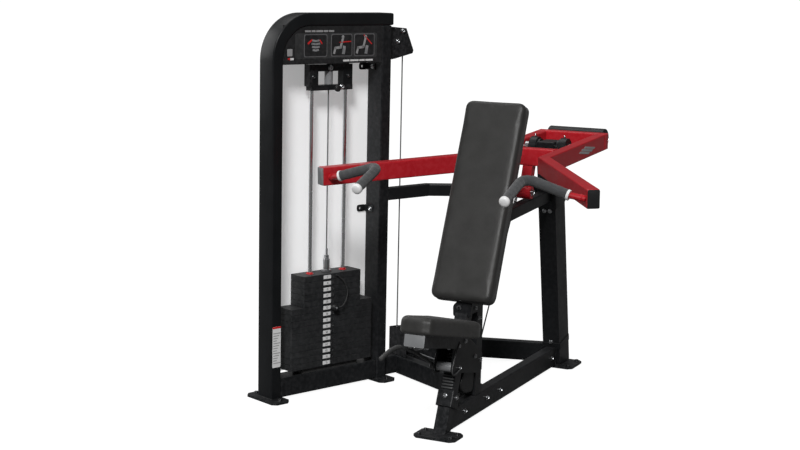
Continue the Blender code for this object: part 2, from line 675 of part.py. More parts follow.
def seat_post():
    """The leaning post: a rack on its front, and a tongue that carries the backrest's foot."""
    foot = (PLATE_FOOT + GAP) / math.cos(LEAN)
    slope = math.tan(LEAN)
    rack_low, tooth, teeth, depth = 0.185, 0.012, 12, 0.005
    outline = [(POST_DEPTH, foot + POST_DEPTH * slope), (POST_DEPTH, 0.640), (0.0285, 0.640),
               (0.0285, 0.492), (0.0, 0.492)]
    for number in reversed(range(teeth)):
        base = rack_low + number * tooth
        outline += [(0.0, base + tooth * 0.95), (-depth, base + tooth * 0.75),
                    (-depth, base + tooth * 0.45), (0.0, base + tooth * 0.25)]
    outline.append((0.0, foot))
    flat("seat_post", [outline], 2 * POST_HALF, BLACK_PAINT, post_axes, (0, 0, 0), TO_SIDE)

    outline = [(0.315, TUBE_TOP + GAP), (0.375, TUBE_TOP + GAP), (0.375, 0.480),
               (post_back(0.480), 0.480), (post_back(0.440), 0.440), (0.315, 0.440)]
    brace = as_mesh(flat("seat_post_brace", [outline], 2 * POST_HALF - 0.002, BLACK_PAINT, machine,
                         (0, 0, 0), TO_SIDE))
    round_edges(brace, 0.004)


def post_back(height):
    """Y just behind the seat post at a height."""
    return POST_FRONT + POST_DEPTH / math.cos(LEAN) + 0.0008 + math.tan(LEAN) * height


def gas_spring():
    tube = rod("gas_spring_cylinder", (0, 0.072, 0.152), (0, 0.072, 0.290), 0.0140, BLACK_PAINT,
               post_axes, 20)
    bore = rod("gas_bore", (0, 0.072, 0.158), (0, 0.072, 0.350), 0.0056, None, post_axes, 14, CUTTERS)
    combine(tube, bore, "DIFFERENCE")
    rod("gas_spring_rod", (0, 0.072, 0.160), (0, 0.072, 0.3445), 0.0050, CHROME, post_axes, 14)


def seat_carriage():
    """Two side plates that hold a front tube, a rear bar and the tube under the seat."""
    outline = [(0.068, 0.372), (0.060, 0.300), (0.050, 0.262), (0.064, 0.242), (0.124, 0.236),
               (0.330, 0.190), (0.352, 0.200), (0.352, 0.268), (0.262, 0.330), (0.196, 0.372)]
    carriage = as_mesh(flat("seat_carriage", [outline], 0.005, BLACK_PAINT, machine,
                            (0.0340, 0, 0), TO_SIDE))
    left = as_mesh(flat("carriage_left", [outline], 0.005, None, machine, (-0.0340, 0, 0), TO_SIDE,
                        CUTTERS))
    tube = rod("carriage_tube", (-0.0385, *LEVER_AXIS), (0.0385, *LEVER_AXIS), 0.0170, None, machine,
               20, CUTTERS)
    rear = block("carriage_bar", (-0.0350, 0.060, 0.3450), (0.0350, 0.084, 0.3640), None, post_axes,
                 collection=CUTTERS)
    beam = block("carriage_beam", (-0.0400, -0.352, -0.0468), (0.0400, -0.006, -0.0008), None,
                 seat_axes, collection=CUTTERS)
    for piece in (left, tube, rear, beam):
        combine(carriage, piece, "UNION")


def seat():
    front_half, back_half = 0.066, 0.130
    outline = [(-back_half, 0.0), (back_half, 0.0), (front_half, -SEAT_LENGTH),
               (-front_half, -SEAT_LENGTH)]
    pad = as_mesh(flat("seat_pad", [outline], SEAT_THICK, VINYL, seat_axes, (0, 0, SEAT_THICK / 2)))
    round_edges(pad, 0.018, 3)


def seat_lever():
    """Rides on the carriage's front tube; its rod reaches out beside the seat."""
    hub_low, hub_high = -0.0560, -0.0390
    hub = rod("seat_lever", (hub_low, *LEVER_AXIS), (hub_high, *LEVER_AXIS), 0.0150, BLACK_PAINT,
              machine, 20)
    middle = (hub_low + hub_high) / 2
    path = curve_through([(middle, 0.066, 0.272), (-0.062, 0.020, 0.302), (-0.088, -0.035, 0.340),
                          (-0.118, -0.088, 0.364), (-0.134, -0.135, 0.360), (-0.142, -0.205, 0.340)], 4)
    arm = as_mesh(bar("lever_rod", path, 0.0065, None, machine, 3, CUTTERS))
    combine(hub, arm, "UNION")


# ---------------------------------------------------------------- press arm
def arm_plan(x, y):
    """A plan point of the design, in the press arm's own frame."""
    return (x, (y - PIVOT[1]) / math.cos(ARM_TILT))


def press_arm():
    spread = Vector((-math.sin(ARM_SPREAD), math.cos(ARM_SPREAD)))
    end = Vector(ARM_END)
    elbow = end + spread * ((end.x - SIDE_LINE) / math.sin(ARM_SPREAD))
    for name, side in (("press_arm_left", 1), ("press_arm_right", -1)):
        path = [arm_plan(side * end.x, end.y), arm_plan(side * elbow.x, elbow.y),
                arm_plan(side * SIDE_LINE, RAIL_END)]
        rail = as_mesh(flat(name, [ribbon(path, ARM_WIDTH)], 2 * ARM_HALF_HEIGHT, RED_PAINT, arm_pivot))
        round_edges(rail, 0.005)
    inner = SIDE_LINE - ARM_WIDTH / 2 - 0.0005
    outer = SIDE_LINE + ARM_WIDTH / 2
    front = arm_plan(0, 0.880)[1]
    block("arm_front_brace", (-inner, front, -ARM_HALF_HEIGHT), (inner, front + 0.048, ARM_HALF_HEIGHT),
          RED_PAINT, arm_pivot, 0.005)
    rear = arm_plan(0, RAIL_END)[1] + 0.0005
    block("arm_rear_brace", (-outer, rear, -ARM_HALF_HEIGHT), (outer, rear + 0.048, ARM_HALF_HEIGHT),
          RED_PAINT, arm_pivot, 0.005)
    weight_at = rear + 0.048 + 0.0475 + 0.0005
    weight = rod("counterweight", (-0.135, weight_at, 0), (0.135, weight_at, 0), 0.0475, BLACK_PAINT,
                 arm_pivot, 28)
    round_edges(weight, 0.004)
    cable_lever(front)


def cable_lever(brace_front):
    """Hangs from the front brace and ends in the boss that pulls the cable."""
    y, z = CABLE_PIN
    top = -ARM_HALF_HEIGHT - GAP
    outline = [(brace_front + 0.044, top), (brace_front + 0.002, top), (y - 0.020, z),
               (y + 0.022, z)]
    lever = as_mesh(flat("cable_lever", [outline], 0.044, RED_PAINT, arm_pivot, (0, 0, 0), TO_SIDE))
    boss = rod("lever_boss", (-0.028, y, z), (0.028, y, z), 0.028, None, arm_pivot, 24, CUTTERS)
    combine(lever, boss, "UNION")


def handle_path(side, start_step):
    """Middle line of a handle: out of the arm, inward to the bend, then forward."""
    stub = Vector((0.5300, 0.0990, 0.9640))
    ring = Vector((0.4730, 0.0770, 0.9760))
    corner = Vector((0.3000, 0.0740, 1.0280))
    cap = Vector((0.3000, -0.1170, 0.9600))
    _, _, rounded = bend(ring, corner, cap, 0.045, 8)
    points = [stub, ring] + rounded + [cap]
    return [Vector((side * p.x, p.y, p.z)) for p in points[start_step:]]


def handles():
    for name, side in (("left", 1), ("right", -1)):
        path = handle_path(side, 0)
        tube = as_mesh(bar(f"handle_tube_{name}", path, 0.0125, RED_PAINT, machine, 4))
        inner_x = side * (ARM_END[0] - ARM_WIDTH / 2 * math.cos(ARM_SPREAD))
        inner_y = ARM_END[1] - ARM_WIDTH / 2 * math.sin(ARM_SPREAD)
        face = empty(f"arm_face_{name}", (*arm_plan(inner_x, inner_y), 0), (0, 0, side * ARM_SPREAD),
                     arm_pivot)
        near, far = side * -0.0004, side * 0.1
        trim = block(f"face_trim_{name}", (min(near, far), -0.2, -0.2), (max(near, far), 0.2, 0.2),
                     None, face, collection=CUTTERS)
        combine(tube, trim, "DIFFERENCE")
        grip = as_mesh(bar(f"handle_grip_{name}", handle_path(side, 1)[:-1] +
                           [path[-1] + (path[-1] - path[-2]).normalized() * -0.001],
                           0.0195, FOAM, machine, 5))
        longer = [path[1] + (path[0] - path[1]) * 0.4] + path[1:-1]
        longer.append(path[-1] + (path[-1] - path[-2]).normalized() * 0.01)
        core = as_mesh(bar(f"grip_core_{name}", longer, 0.0130, None, machine, 4, CUTTERS))
        combine(grip, core, "DIFFERENCE")


# ---------------------------------------------------------------- the machine
tower_frame()
tower_covers()
guide_rods()
rod_top_block()
weight_plates()
selector()
cables_and_pulleys()
drop_bracket()
lower_pulley_guard()
seat_pulley_bracket()
base_frame()
rear_column()
tower_link()
backrest()
seat_post()
gas_spring()
seat_carriage()
seat()
seat_lever()
press_arm()
handles()
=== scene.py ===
import json
import math

import bmesh
import bpy
from mathutils import Matrix, Vector


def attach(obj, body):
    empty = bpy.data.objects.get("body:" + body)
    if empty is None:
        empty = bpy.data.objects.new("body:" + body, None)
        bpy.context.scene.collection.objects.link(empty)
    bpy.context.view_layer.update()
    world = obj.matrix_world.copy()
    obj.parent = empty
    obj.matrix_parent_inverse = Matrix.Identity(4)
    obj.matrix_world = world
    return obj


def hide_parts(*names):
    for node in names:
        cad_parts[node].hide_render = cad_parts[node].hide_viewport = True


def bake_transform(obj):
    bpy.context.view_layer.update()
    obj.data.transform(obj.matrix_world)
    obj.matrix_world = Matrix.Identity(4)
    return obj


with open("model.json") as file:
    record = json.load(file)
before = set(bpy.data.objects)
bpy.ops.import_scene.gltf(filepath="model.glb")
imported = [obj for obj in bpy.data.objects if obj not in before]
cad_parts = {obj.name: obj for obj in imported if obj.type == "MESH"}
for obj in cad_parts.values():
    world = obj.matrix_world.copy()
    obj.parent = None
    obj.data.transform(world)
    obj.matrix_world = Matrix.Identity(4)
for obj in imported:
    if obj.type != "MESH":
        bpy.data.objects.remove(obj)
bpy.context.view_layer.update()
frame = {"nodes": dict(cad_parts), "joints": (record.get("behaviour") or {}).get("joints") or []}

nodes = frame["nodes"]
joints = {joint["name"]: joint for joint in frame["joints"]}


# axes of each assembly, all hung from the press arm's pivot
def place(x, y, z):
    return Matrix.Translation((x, y, z))


def spin(degrees, axis):
    return Matrix.Rotation(math.radians(degrees), 4, axis)


# where each assembly stands on the machine: place in metres, lean or turn in degrees
layout = {"pivot": (0.0, 1.15, 1.018), "armLean": 2.79,
          "tower": ((-0.804, 0.113, 0.0), -22.5, "Z"),      # X across, Y along, Z up
          "post": ((0.0, 0.022, 0.0), -23.0, "X"),
          "back": ((0.0, 0.184, 0.508), -22.7, "X"),
          "seat": ((0.0, 0.135, 0.3775), -12.3, "X")}
armPivot = Vector(joints["press_arm_hinge"]["pos_m"])
machineAxes = Matrix.Translation(armPivot - Vector(layout["pivot"]))


def assemblyAxes(name):
    at, degrees, axis = layout[name]
    return machineAxes @ place(*at) @ spin(degrees, axis)


towerAxes, postAxes, backAxes, seatAxes = (assemblyAxes(name) for name in ("tower", "post", "back", "seat"))
armAxes = Matrix.Translation(armPivot) @ spin(layout["armLean"], "X")
onSide = Matrix(((0, 0, 1, 0), (1, 0, 0, 0), (0, 1, 0, 0), (0, 0, 0, 1)))      # drawn (Y, Z), raised along X
onFront = Matrix(((1, 0, 0, 0), (0, 0, -1, 0), (0, 1, 0, 0), (0, 0, 0, 1)))    # drawn (X, Z), raised along -Y


# shader groups shared by the finishes
def newGroup(name, inputs, outputs):
    group = bpy.data.node_groups.new(name, "ShaderNodeTree")
    for label, kind, value in inputs:
        socket = group.interface.new_socket(name=label, in_out="INPUT", socket_type=kind)
        socket.default_value = value
    for label, kind in outputs:
        group.interface.new_socket(name=label, in_out="OUTPUT", socket_type=kind)
    return group, group.nodes.new("NodeGroupInput"), group.nodes.new("NodeGroupOutput")


def addNode(tree, kind, **settings):
    made = tree.nodes.new(kind)
    for key, value in settings.items():
        setattr(made, key, value)
    return made


def addMath(tree, operation, first, second=None, clamp=False):
    made = addNode(tree, "ShaderNodeMath", operation=operation, use_clamp=clamp)
    for socket, value in zip(made.inputs, (first, second)):
        if value is None:
            continue
        if isinstance(value, (int, float)):
            socket.default_value = value
        else:
            tree.links.new(value, socket)
    return made.outputs[0]


def addNoise(tree, scale, detail=3.0, rough=0.55, vector=None):
    made = addNode(tree, "ShaderNodeTexNoise")
    made.inputs["Detail"].default_value = detail
    made.inputs["Roughness"].default_value = rough
    if isinstance(scale, (int, float)):
        made.inputs["Scale"].default_value = scale
    else:
        tree.links.new(scale, made.inputs["Scale"])
    if vector is None:
        vector = addNode(tree, "ShaderNodeTexCoord").outputs["Object"]
    tree.links.new(vector, made.inputs["Vector"])
    return made.outputs["Fac"]


def addRange(tree, value, low, high, newLow=0.0, newHigh=1.0):
    made = addNode(tree, "ShaderNodeMapRange")
    tree.links.new(value, made.inputs["Value"])
    for label, number in (("From Min", low), ("From Max", high), ("To Min", newLow), ("To Max", newHigh)):
        if isinstance(number, (int, float)):
            made.inputs[label].default_value = number
        else:
            tree.links.new(number, made.inputs[label])
    return made.outputs[0]


def weighted(tree, first, share, second, rest):
    return addMath(tree, "ADD", addMath(tree, "MULTIPLY", first, share),
                   addMath(tree, "MULTIPLY", second, rest))


def makePowderGrain():
    group, given, result = newGroup(
        "powderGrain", [("Scale", "NodeSocketFloat", 900.0), ("Patch Scale", "NodeSocketFloat", 7.0)],
        [("Height", "NodeSocketFloat"), ("Patches", "NodeSocketFloat")])
    fine = addNoise(group, given.outputs["Scale"], 2.0, 0.5)
    wide = addNoise(group, addMath(group, "MULTIPLY", given.outputs["Scale"], 0.22), 1.0, 0.5)
    height = weighted(group, fine, 0.6, wide, 0.4)
    patches = addRange(group, addNoise(group, given.outputs["Patch Scale"], 4.0, 0.6), 0.35, 0.65)
    group.links.new(height, result.inputs["Height"])
    group.links.new(patches, result.inputs["Patches"])
    return group


# sharp edges made lighter: partly real edge wear, partly a painted edge highlight
def makeEdgeWear():
    group, given, result = newGroup(
        "edgeWearAndHighlight", [("Low", "NodeSocketFloat", 0.53), ("High", "NodeSocketFloat", 0.6),
                     ("Breakup", "NodeSocketFloat", 60.0)], [("Mask", "NodeSocketFloat")])
    sharp = addRange(group, addNode(group, "ShaderNodeNewGeometry").outputs["Pointiness"],
                     given.outputs["Low"], given.outputs["High"])
    broken = addRange(group, addNoise(group, given.outputs["Breakup"], 5.0, 0.7), 0.42, 0.62)
    group.links.new(addMath(group, "MULTIPLY", sharp, broken, True), result.inputs["Mask"])
    return group


def makeDustFilm():
    group, given, result = newGroup(
        "dustFilm", [("Amount", "NodeSocketFloat", 0.3), ("Scale", "NodeSocketFloat", 14.0)],
        [("Mask", "NodeSocketFloat")])
    facing = addNode(group, "ShaderNodeSeparateXYZ")
    group.links.new(addNode(group, "ShaderNodeNewGeometry").outputs["Normal"], facing.inputs[0])
    upward = addRange(group, facing.outputs["Z"], 0.55, 1.0)
    cloud = addRange(group, addNoise(group, given.outputs["Scale"], 6.0, 0.65), 0.3, 0.75)
    lying = addMath(group, "MULTIPLY", upward, cloud)
    mask = addMath(group, "MULTIPLY", lying, given.outputs["Amount"], True)
    group.links.new(mask, result.inputs["Mask"])
    return group


def makeHideGrain():
    group, given, result = newGroup(
        "hideGrain", [("Scale", "NodeSocketFloat", 420.0), ("Wrinkle Scale", "NodeSocketFloat", 22.0)],
        [("Height", "NodeSocketFloat"), ("Wrinkles", "NodeSocketFloat")])
    coords = addNode(group, "ShaderNodeTexCoord").outputs["Object"]
    cells = addNode(group, "ShaderNodeTexVoronoi", feature="DISTANCE_TO_EDGE")
    group.links.new(coords, cells.inputs["Vector"])
    group.links.new(given.outputs["Scale"], cells.inputs["Scale"])
    pebbles = addRange(group, cells.outputs["Distance"], 0.0, 0.16)
    pores = addNoise(group, addMath(group, "MULTIPLY", given.outputs["Scale"], 2.4), 2.0, 0.5)
    height = weighted(group, pebbles, 0.75, pores, 0.25)
    wrinkles = addRange(group, addNoise(group, given.outputs["Wrinkle Scale"], 5.0, 0.6), 0.3, 0.7)
    group.links.new(height, result.inputs["Height"])
    group.links.new(wrinkles, result.inputs["Wrinkles"])
    return group


powderGrain = makePowderGrain()
edgeWearAndHighlight = makeEdgeWear()
dustFilm = makeDustFilm()
hideGrain = makeHideGrain()


# finishes
def newFinish(name, colour, roughness, metallic=0.0, **sockets):
    finish = bpy.data.materials.new(name)
    finish.use_nodes = True
    shader = finish.node_tree.nodes["Principled BSDF"]
    shader.inputs["Base Color"].default_value = (*colour, 1.0)
    shader.inputs["Roughness"].default_value = roughness
    shader.inputs["Metallic"].default_value = metallic
    for label, value in sockets.items():
        shader.inputs[label.replace("_", " ")].default_value = value
    return finish, finish.node_tree, shader


def useGroup(tree, group, **values):
    made = addNode(tree, "ShaderNodeGroup", node_tree=group)
    for label, value in values.items():
        made.inputs[label.replace("_", " ")].default_value = value
    return made


def mixColour(tree, mask, first, second):
    made = addNode(tree, "ShaderNodeMix", data_type="RGBA")
    tree.links.new(mask, made.inputs["Factor"])
    for label, value in ((6, first), (7, second)):
        if isinstance(value, tuple):
            made.inputs[label].default_value = (*value, 1.0)
        else:
            tree.links.new(value, made.inputs[label])
    return made.outputs[2]


def bumpFrom(tree, shader, height, strength, distance):
    made = addNode(tree, "ShaderNodeBump")
    made.inputs["Strength"].default_value = strength
    made.inputs["Distance"].default_value = distance
    tree.links.new(height, made.inputs["Height"])
    tree.links.new(made.outputs["Normal"], shader.inputs["Normal"])


def grey(level, second=None, third=None):
    return (level, second or level, third or level)


paintDefaults = {"patch": 7.0, "edgeMaskLow": 0.53, "edgeMaskHigh": 0.62, "breakup": 60.0, "dustColour": grey(0.2),
                 "depth": 0.0004, "specular": 0.5, "glow": 0.0}
inkDefaults = {"roughness": 0.4, "grain": 300.0, "bump": 0.1, "dust": 0.05}
# each look's edge colour goes on sharp edges: partly real wear, partly a painted edge highlight
paintLooks = {
    "blackPowder": {"colour": (0.0075, 0.0082, 0.009), "second": (0.01, 0.0108, 0.0118), "roughness": 0.36,
                    "grain": 750.0, "bump": 0.1, "wearAndHighlight": (0.03, 0.03, 0.032), "dust": 0.05, "specular": 0.2},
    "greyPowder": {"colour": (0.036, 0.037, 0.038), "second": (0.044, 0.045, 0.046), "roughness": 0.42,
                   "grain": 750.0, "bump": 0.2, "wearAndHighlight": grey(0.09), "dust": 0.1, "specular": 0.3},
    "redPowder": {"colour": (0.385, 0.0085, 0.0145), "second": (0.43, 0.0105, 0.0175), "roughness": 0.33,
                  "grain": 700.0, "bump": 0.14, "wearAndHighlight": (0.48, 0.03, 0.04), "dust": 0.08,
                  "dustColour": (0.55, 0.12, 0.13), "specular": 0.3},
    "stackPaint": {"colour": (0.012, 0.0128, 0.0135), "second": (0.02, 0.021, 0.022), "roughness": 0.55,
                   "grain": 420.0, "bump": 0.45, "wearAndHighlight": (0.04, 0.04, 0.042), "dust": 0.12, "depth": 0.0006,
                   "specular": 0.24},
    "moulded": {"colour": (0.012, 0.0125, 0.013), "second": (0.018, 0.018, 0.019), "roughness": 0.46,
                "grain": 1100.0, "bump": 0.25, "wearAndHighlight": (0.03, 0.03, 0.031), "dust": 0.06, "specular": 0.24},
    "greyPlastic": {"colour": (0.17, 0.175, 0.18), "second": (0.21, 0.215, 0.22), "roughness": 0.42,
                    "grain": 1100.0, "bump": 0.2, "wearAndHighlight": (0.3, 0.3, 0.31), "dust": 0.1,
                    "dustColour": grey(0.4)},
    "whitePlastic": {"colour": grey(0.78), "second": grey(0.84), "roughness": 0.35, "grain": 1100.0,
                     "bump": 0.1, "wearAndHighlight": grey(0.88), "dust": 0.1, "dustColour": grey(0.6)},
    "redPlastic": {"colour": (0.45, 0.01, 0.015), "second": (0.5, 0.016, 0.02), "roughness": 0.4,
                   "grain": 1100.0, "bump": 0.1, "wearAndHighlight": (0.6, 0.05, 0.05), "dust": 0.1,
                   "dustColour": (0.6, 0.2, 0.2)},
    "blackRubber": {"colour": grey(0.022), "second": grey(0.032), "roughness": 0.72, "grain": 600.0,
                    "bump": 0.5, "wearAndHighlight": grey(0.05), "dust": 0.3},
    # the shroud sheet's glow is painted light: the panel is no lamp
    "shroudSheet": {"colour": (0.8, 0.81, 0.82), "second": (0.83, 0.84, 0.85), "roughness": 0.42,
                    "grain": 500.0, "bump": 0.08, "wearAndHighlight": grey(0.8), "dust": 0.1, "dustColour": grey(0.65),
                    "glow": 0.3},
    "printWhite": {**inkDefaults, "colour": grey(0.72), "second": grey(0.8), "wearAndHighlight": grey(0.7)},
    "printGrey": {**inkDefaults, "colour": (0.3, 0.3, 0.305), "second": (0.36, 0.36, 0.365),
                  "roughness": 0.42, "wearAndHighlight": grey(0.3)},
    "printDark": {**inkDefaults, "colour": (0.022, 0.023, 0.024), "second": (0.03, 0.031, 0.032),
                  "wearAndHighlight": grey(0.08)},
    "printMid": {**inkDefaults, "colour": (0.1, 0.1, 0.105), "second": (0.13, 0.13, 0.135),
                 "roughness": 0.42, "wearAndHighlight": grey(0.12)},
    "printRed": {**inkDefaults, "colour": (0.55, 0.012, 0.012), "second": (0.62, 0.02, 0.02),
                 "wearAndHighlight": (0.6, 0.02, 0.02)},
    "cableJacket": {"colour": (0.115, 0.118, 0.122), "second": (0.15, 0.153, 0.158), "roughness": 0.35,
                    "grain": 900.0, "bump": 0.3, "wearAndHighlight": grey(0.12), "dust": 0.0},
}


def coatedFinish(name, own):
    look = {**paintDefaults, **own}
    finish, tree, shader = newFinish(name, look["colour"], look["roughness"],
                                     Specular_IOR_Level=look["specular"])
    # a glowing finish is painted light, since the part is no lamp (the shroud sheet)
    if look["glow"]:
        shader.inputs["Emission Color"].default_value = (1.0, 1.0, 1.0, 1.0)
        shader.inputs["Emission Strength"].default_value = look["glow"]
    grain = useGroup(tree, powderGrain, Scale=look["grain"], Patch_Scale=look["patch"])
    colour = mixColour(tree, grain.outputs["Patches"], look["colour"], look["second"])
    # lighter sharp edges: partly real wear, partly a painted edge highlight
    wearAndHighlight = useGroup(tree, edgeWearAndHighlight, Low=look["edgeMaskLow"], High=look["edgeMaskHigh"], Breakup=look["breakup"])
    colour = mixColour(tree, wearAndHighlight.outputs["Mask"], colour, look["wearAndHighlight"])
    dusty = useGroup(tree, dustFilm, Amount=look["dust"])
    colour = mixColour(tree, dusty.outputs["Mask"], colour, look["dustColour"])
    tree.links.new(colour, shader.inputs["Base Color"])
    tree.links.new(addRange(tree, grain.outputs["Patches"], 0.0, 1.0, look["roughness"] - 0.05,
                            look["roughness"] + 0.06), shader.inputs["Roughness"])
    bumpFrom(tree, shader, grain.outputs["Height"], look["bump"], look["depth"])
    return finish


finishes = {name: coatedFinish(name, look) for name, look in paintLooks.items()}


def metalFinish(name, look):
    finish, tree, shader = newFinish(name, look["colour"], look["roughness"], 1.0)
    grain = useGroup(tree, powderGrain, Scale=look["grain"], Patch_Scale=look["patch"])
    tree.links.new(mixColour(tree, grain.outputs["Patches"], look["colour"], look["second"]),
                   shader.inputs["Base Color"])
    tree.links.new(addRange(tree, grain.outputs["Patches"], 0.0, 1.0, look["roughness"] - 0.04,
                            look["roughness"] + 0.05), shader.inputs["Roughness"])
    bumpFrom(tree, shader, grain.outputs["Height"], look["bump"], 0.0002)
    return finish


metalLooks = {
    "polishedChrome": {"colour": (0.8, 0.81, 0.82), "second": (0.86, 0.87, 0.88), "roughness": 0.24,
                       "grain": 350.0, "patch": 9.0, "bump": 0.03},
    "zincSteel": {"colour": (0.42, 0.43, 0.44), "second": (0.52, 0.53, 0.54), "roughness": 0.3,
                  "grain": 900.0, "patch": 40.0, "bump": 0.1},
    "darkSteel": {"colour": (0.12, 0.122, 0.126), "second": (0.17, 0.172, 0.176), "roughness": 0.34,
                  "grain": 900.0, "patch": 40.0, "bump": 0.12},
}
finishes.update({name: metalFinish(name, look) for name, look in metalLooks.items()})


def vinylFinish():
    look = {"colour": (0.0235, 0.0232, 0.0222), "second": (0.03, 0.0296, 0.0284), "roughness": 0.44}
    finish, tree, shader = newFinish("padVinyl", look["colour"], look["roughness"], Sheen_Weight=0.1,
                                     Sheen_Roughness=0.4, Specular_IOR_Level=0.35)
    hide = useGroup(tree, hideGrain, Scale=520.0, Wrinkle_Scale=16.0)
    colour = mixColour(tree, hide.outputs["Wrinkles"], look["colour"], look["second"])
    dusty = useGroup(tree, dustFilm, Amount=0.08)
    tree.links.new(mixColour(tree, dusty.outputs["Mask"], colour, grey(0.12)), shader.inputs["Base Color"])
    tree.links.new(addRange(tree, hide.outputs["Wrinkles"], 0.0, 1.0, 0.4, 0.5), shader.inputs["Roughness"])
    bumpFrom(tree, shader, hide.outputs["Height"], 0.22, 0.0005)
    return finish


def foamFinish():
    look = {"colour": (0.028, 0.029, 0.031), "second": (0.046, 0.048, 0.051), "roughness": 0.78}
    finish, tree, shader = newFinish("gripFoam", look["colour"], look["roughness"], Sheen_Weight=0.2,
                                     Sheen_Roughness=0.6)
    hide = useGroup(tree, hideGrain, Scale=900.0, Wrinkle_Scale=60.0)
    tree.links.new(mixColour(tree, hide.outputs["Wrinkles"], look["colour"], look["second"]),
                   shader.inputs["Base Color"])
    bumpFrom(tree, shader, hide.outputs["Height"], 0.45, 0.0006)
    return finish


finishes["padVinyl"] = vinylFinish()
finishes["gripFoam"] = foamFinish()
print("finishes:", len(finishes))


# mesh tools
def addTo(shape, part, axes, finish):
    bmesh.ops.recalc_face_normals(part, faces=part.faces)
    for face in part.faces:
        face.material_index = finish
    part.transform(axes)
    held = bpy.data.meshes.new("held")
    part.to_mesh(held)
    part.free()
    shape.from_mesh(held)
    bpy.data.meshes.remove(held)


def addBox(shape, low, high, bevel=0.001, axes=Matrix(), finish=0, segments=2):
    part = bmesh.new()
    bmesh.ops.create_cube(part, size=1.0)
    size = Vector(high) - Vector(low)
    middle = (Vector(high) + Vector(low)) / 2
    for vert in part.verts:
        vert.co = Vector(vert.co[k] * size[k] for k in range(3)) + middle
    if bevel:
        bmesh.ops.bevel(part, geom=part.edges[:], offset=bevel, segments=segments, affect="EDGES",
                        profile=0.5, clamp_overlap=True)
    addTo(shape, part, axes, finish)


def addPlate(shape, outline, low, high, bevel=0.001, axes=Matrix(), finish=0, holes=(), segments=1):
    part = bmesh.new()
    loops = [[part.verts.new((x, y, low)) for x, y in loop] for loop in (outline, *holes)]
    rims = [part.edges.new((a, b)) for loop in loops for a, b in zip(loop, loop[1:] + loop[:1])]
    if holes:
        bmesh.ops.triangle_fill(part, use_beauty=True, edges=rims)
    else:
        part.faces.new(loops[0])
    made = bmesh.ops.extrude_face_region(part, geom=part.faces[:])
    top = [item for item in made["geom"] if isinstance(item, bmesh.types.BMVert)]
    bmesh.ops.translate(part, verts=top, vec=(0, 0, high - low))
    if bevel:
        bmesh.ops.recalc_face_normals(part, faces=part.faces)
        edges = [e for e in part.edges if len(e.link_faces) == 2 and e.calc_face_angle(0.0) > 0.9]
        bmesh.ops.bevel(part, geom=edges, offset=bevel, segments=segments, affect="EDGES", profile=0.5,
                        clamp_overlap=True)
    addTo(shape, part, axes, finish)


def roundCorners(outline, radius, steps=4):
    rounded = []
    for index, corner in enumerate(outline):
        before = Vector(outline[index - 1]) - Vector(corner)
        after = Vector(outline[(index + 1) % len(outline)]) - Vector(corner)
        reach = min(radius, before.length * 0.49, after.length * 0.49)
        start = Vector(corner) + before.normalized() * reach
        end = Vector(corner) + after.normalized() * reach
        for k in range(steps + 1):
            t = k / steps
            rounded.append(tuple(start * (1 - t) ** 2 + 2 * Vector(corner) * t * (1 - t) + end * t ** 2))
    return rounded


def rectangle(x0, y0, x1, y1):
    return [(x0, y0), (x1, y0), (x1, y1), (x0, y1)]


def circleLoop(x, y, radius, steps=16):
    return [(x + radius * math.cos(math.tau * k / steps), y + radius * math.sin(math.tau * k / steps))
            for k in range(steps)]


def addTurned(shape, profile, axes=Matrix(), finish=0, steps=24):
    part = bmesh.new()
    rings = []
    for radius, height, *hexed in profile:
        if radius < 1e-6:
            rings.append([part.verts.new((0.0, 0.0, height))])
            continue
        ring = []
        for k in range(steps):
            turn = math.tau * k / steps
            flat = math.cos(math.radians(30) - turn % math.radians(60)) if hexed else 1.0
            reach = radius / flat
            ring.append(part.verts.new((reach * math.cos(turn), reach * math.sin(turn), height)))
        rings.append(ring)
    for a, b in zip(rings, rings[1:]):
        if len(a) == len(b) == 1:
            continue
        for k in range(steps):
            corners = []
            for ring, at in ((a, k), (a, k + 1), (b, k + 1), (b, k)):
                vert = ring[at % len(ring)]
                if vert not in corners:
                    corners.append(vert)
            part.faces.new(corners)
    addTo(shape, part, axes, finish)


def addTube(shape, path, radius, axes=Matrix(), finish=0, sides=12, closed=False, radii=None):
    points = [Vector(p) for p in path]
    count = len(points)
    part = bmesh.new()
    rings = []
    lift = None
    for index, point in enumerate(points):
        ahead = points[(index + 1) % count] if closed or index < count - 1 else point
        behind = points[index - 1] if closed or index > 0 else point
        way = (ahead - behind).normalized()
        if lift is None:
            lift = way.orthogonal().normalized()
        lift = (lift - way * lift.dot(way)).normalized()
        across = way.cross(lift)
        size = radii[index] if radii else radius
        rings.append([part.verts.new(point + size * (math.cos(math.tau * k / sides) * lift
                                                     + math.sin(math.tau * k / sides) * across))
                      for k in range(sides)])
    for a, b in zip(rings, rings[1:] + (rings[:1] if closed else [])):
        for k in range(sides):
            n = (k + 1) % sides
            part.faces.new((a[k], a[n], b[n], b[k]))
    if not closed:
        part.faces.new(rings[0])
        part.faces.new(rings[-1])
    addTo(shape, part, axes, finish)


def along(start, way):
    return Matrix.Translation(start) @ Vector(way).to_track_quat("Z", "Y").to_matrix().to_4x4()


def addBolt(shape, at, way, size, axes=Matrix(), finish=0, washer=True):
    under = 0.3 if washer else 0.0
    profile = [(0.0, -0.1)]
    if washer:
        profile += [(2.05, -0.1), (2.1, 0.2), (2.0, under)]
    profile += [(1.62, under), (1.65, under + 0.15), (1.65, under + 0.85), (1.5, under + 1.05),
                (0.95, under + 1.1), (0.85, under + 1.02, 1), (0.85, under + 0.35, 1), (0.0, under + 0.3)]
    addTurned(shape, [(p[0] * size, p[1] * size, *p[2:]) for p in profile],
              axes @ along(at, way), finish, 18)


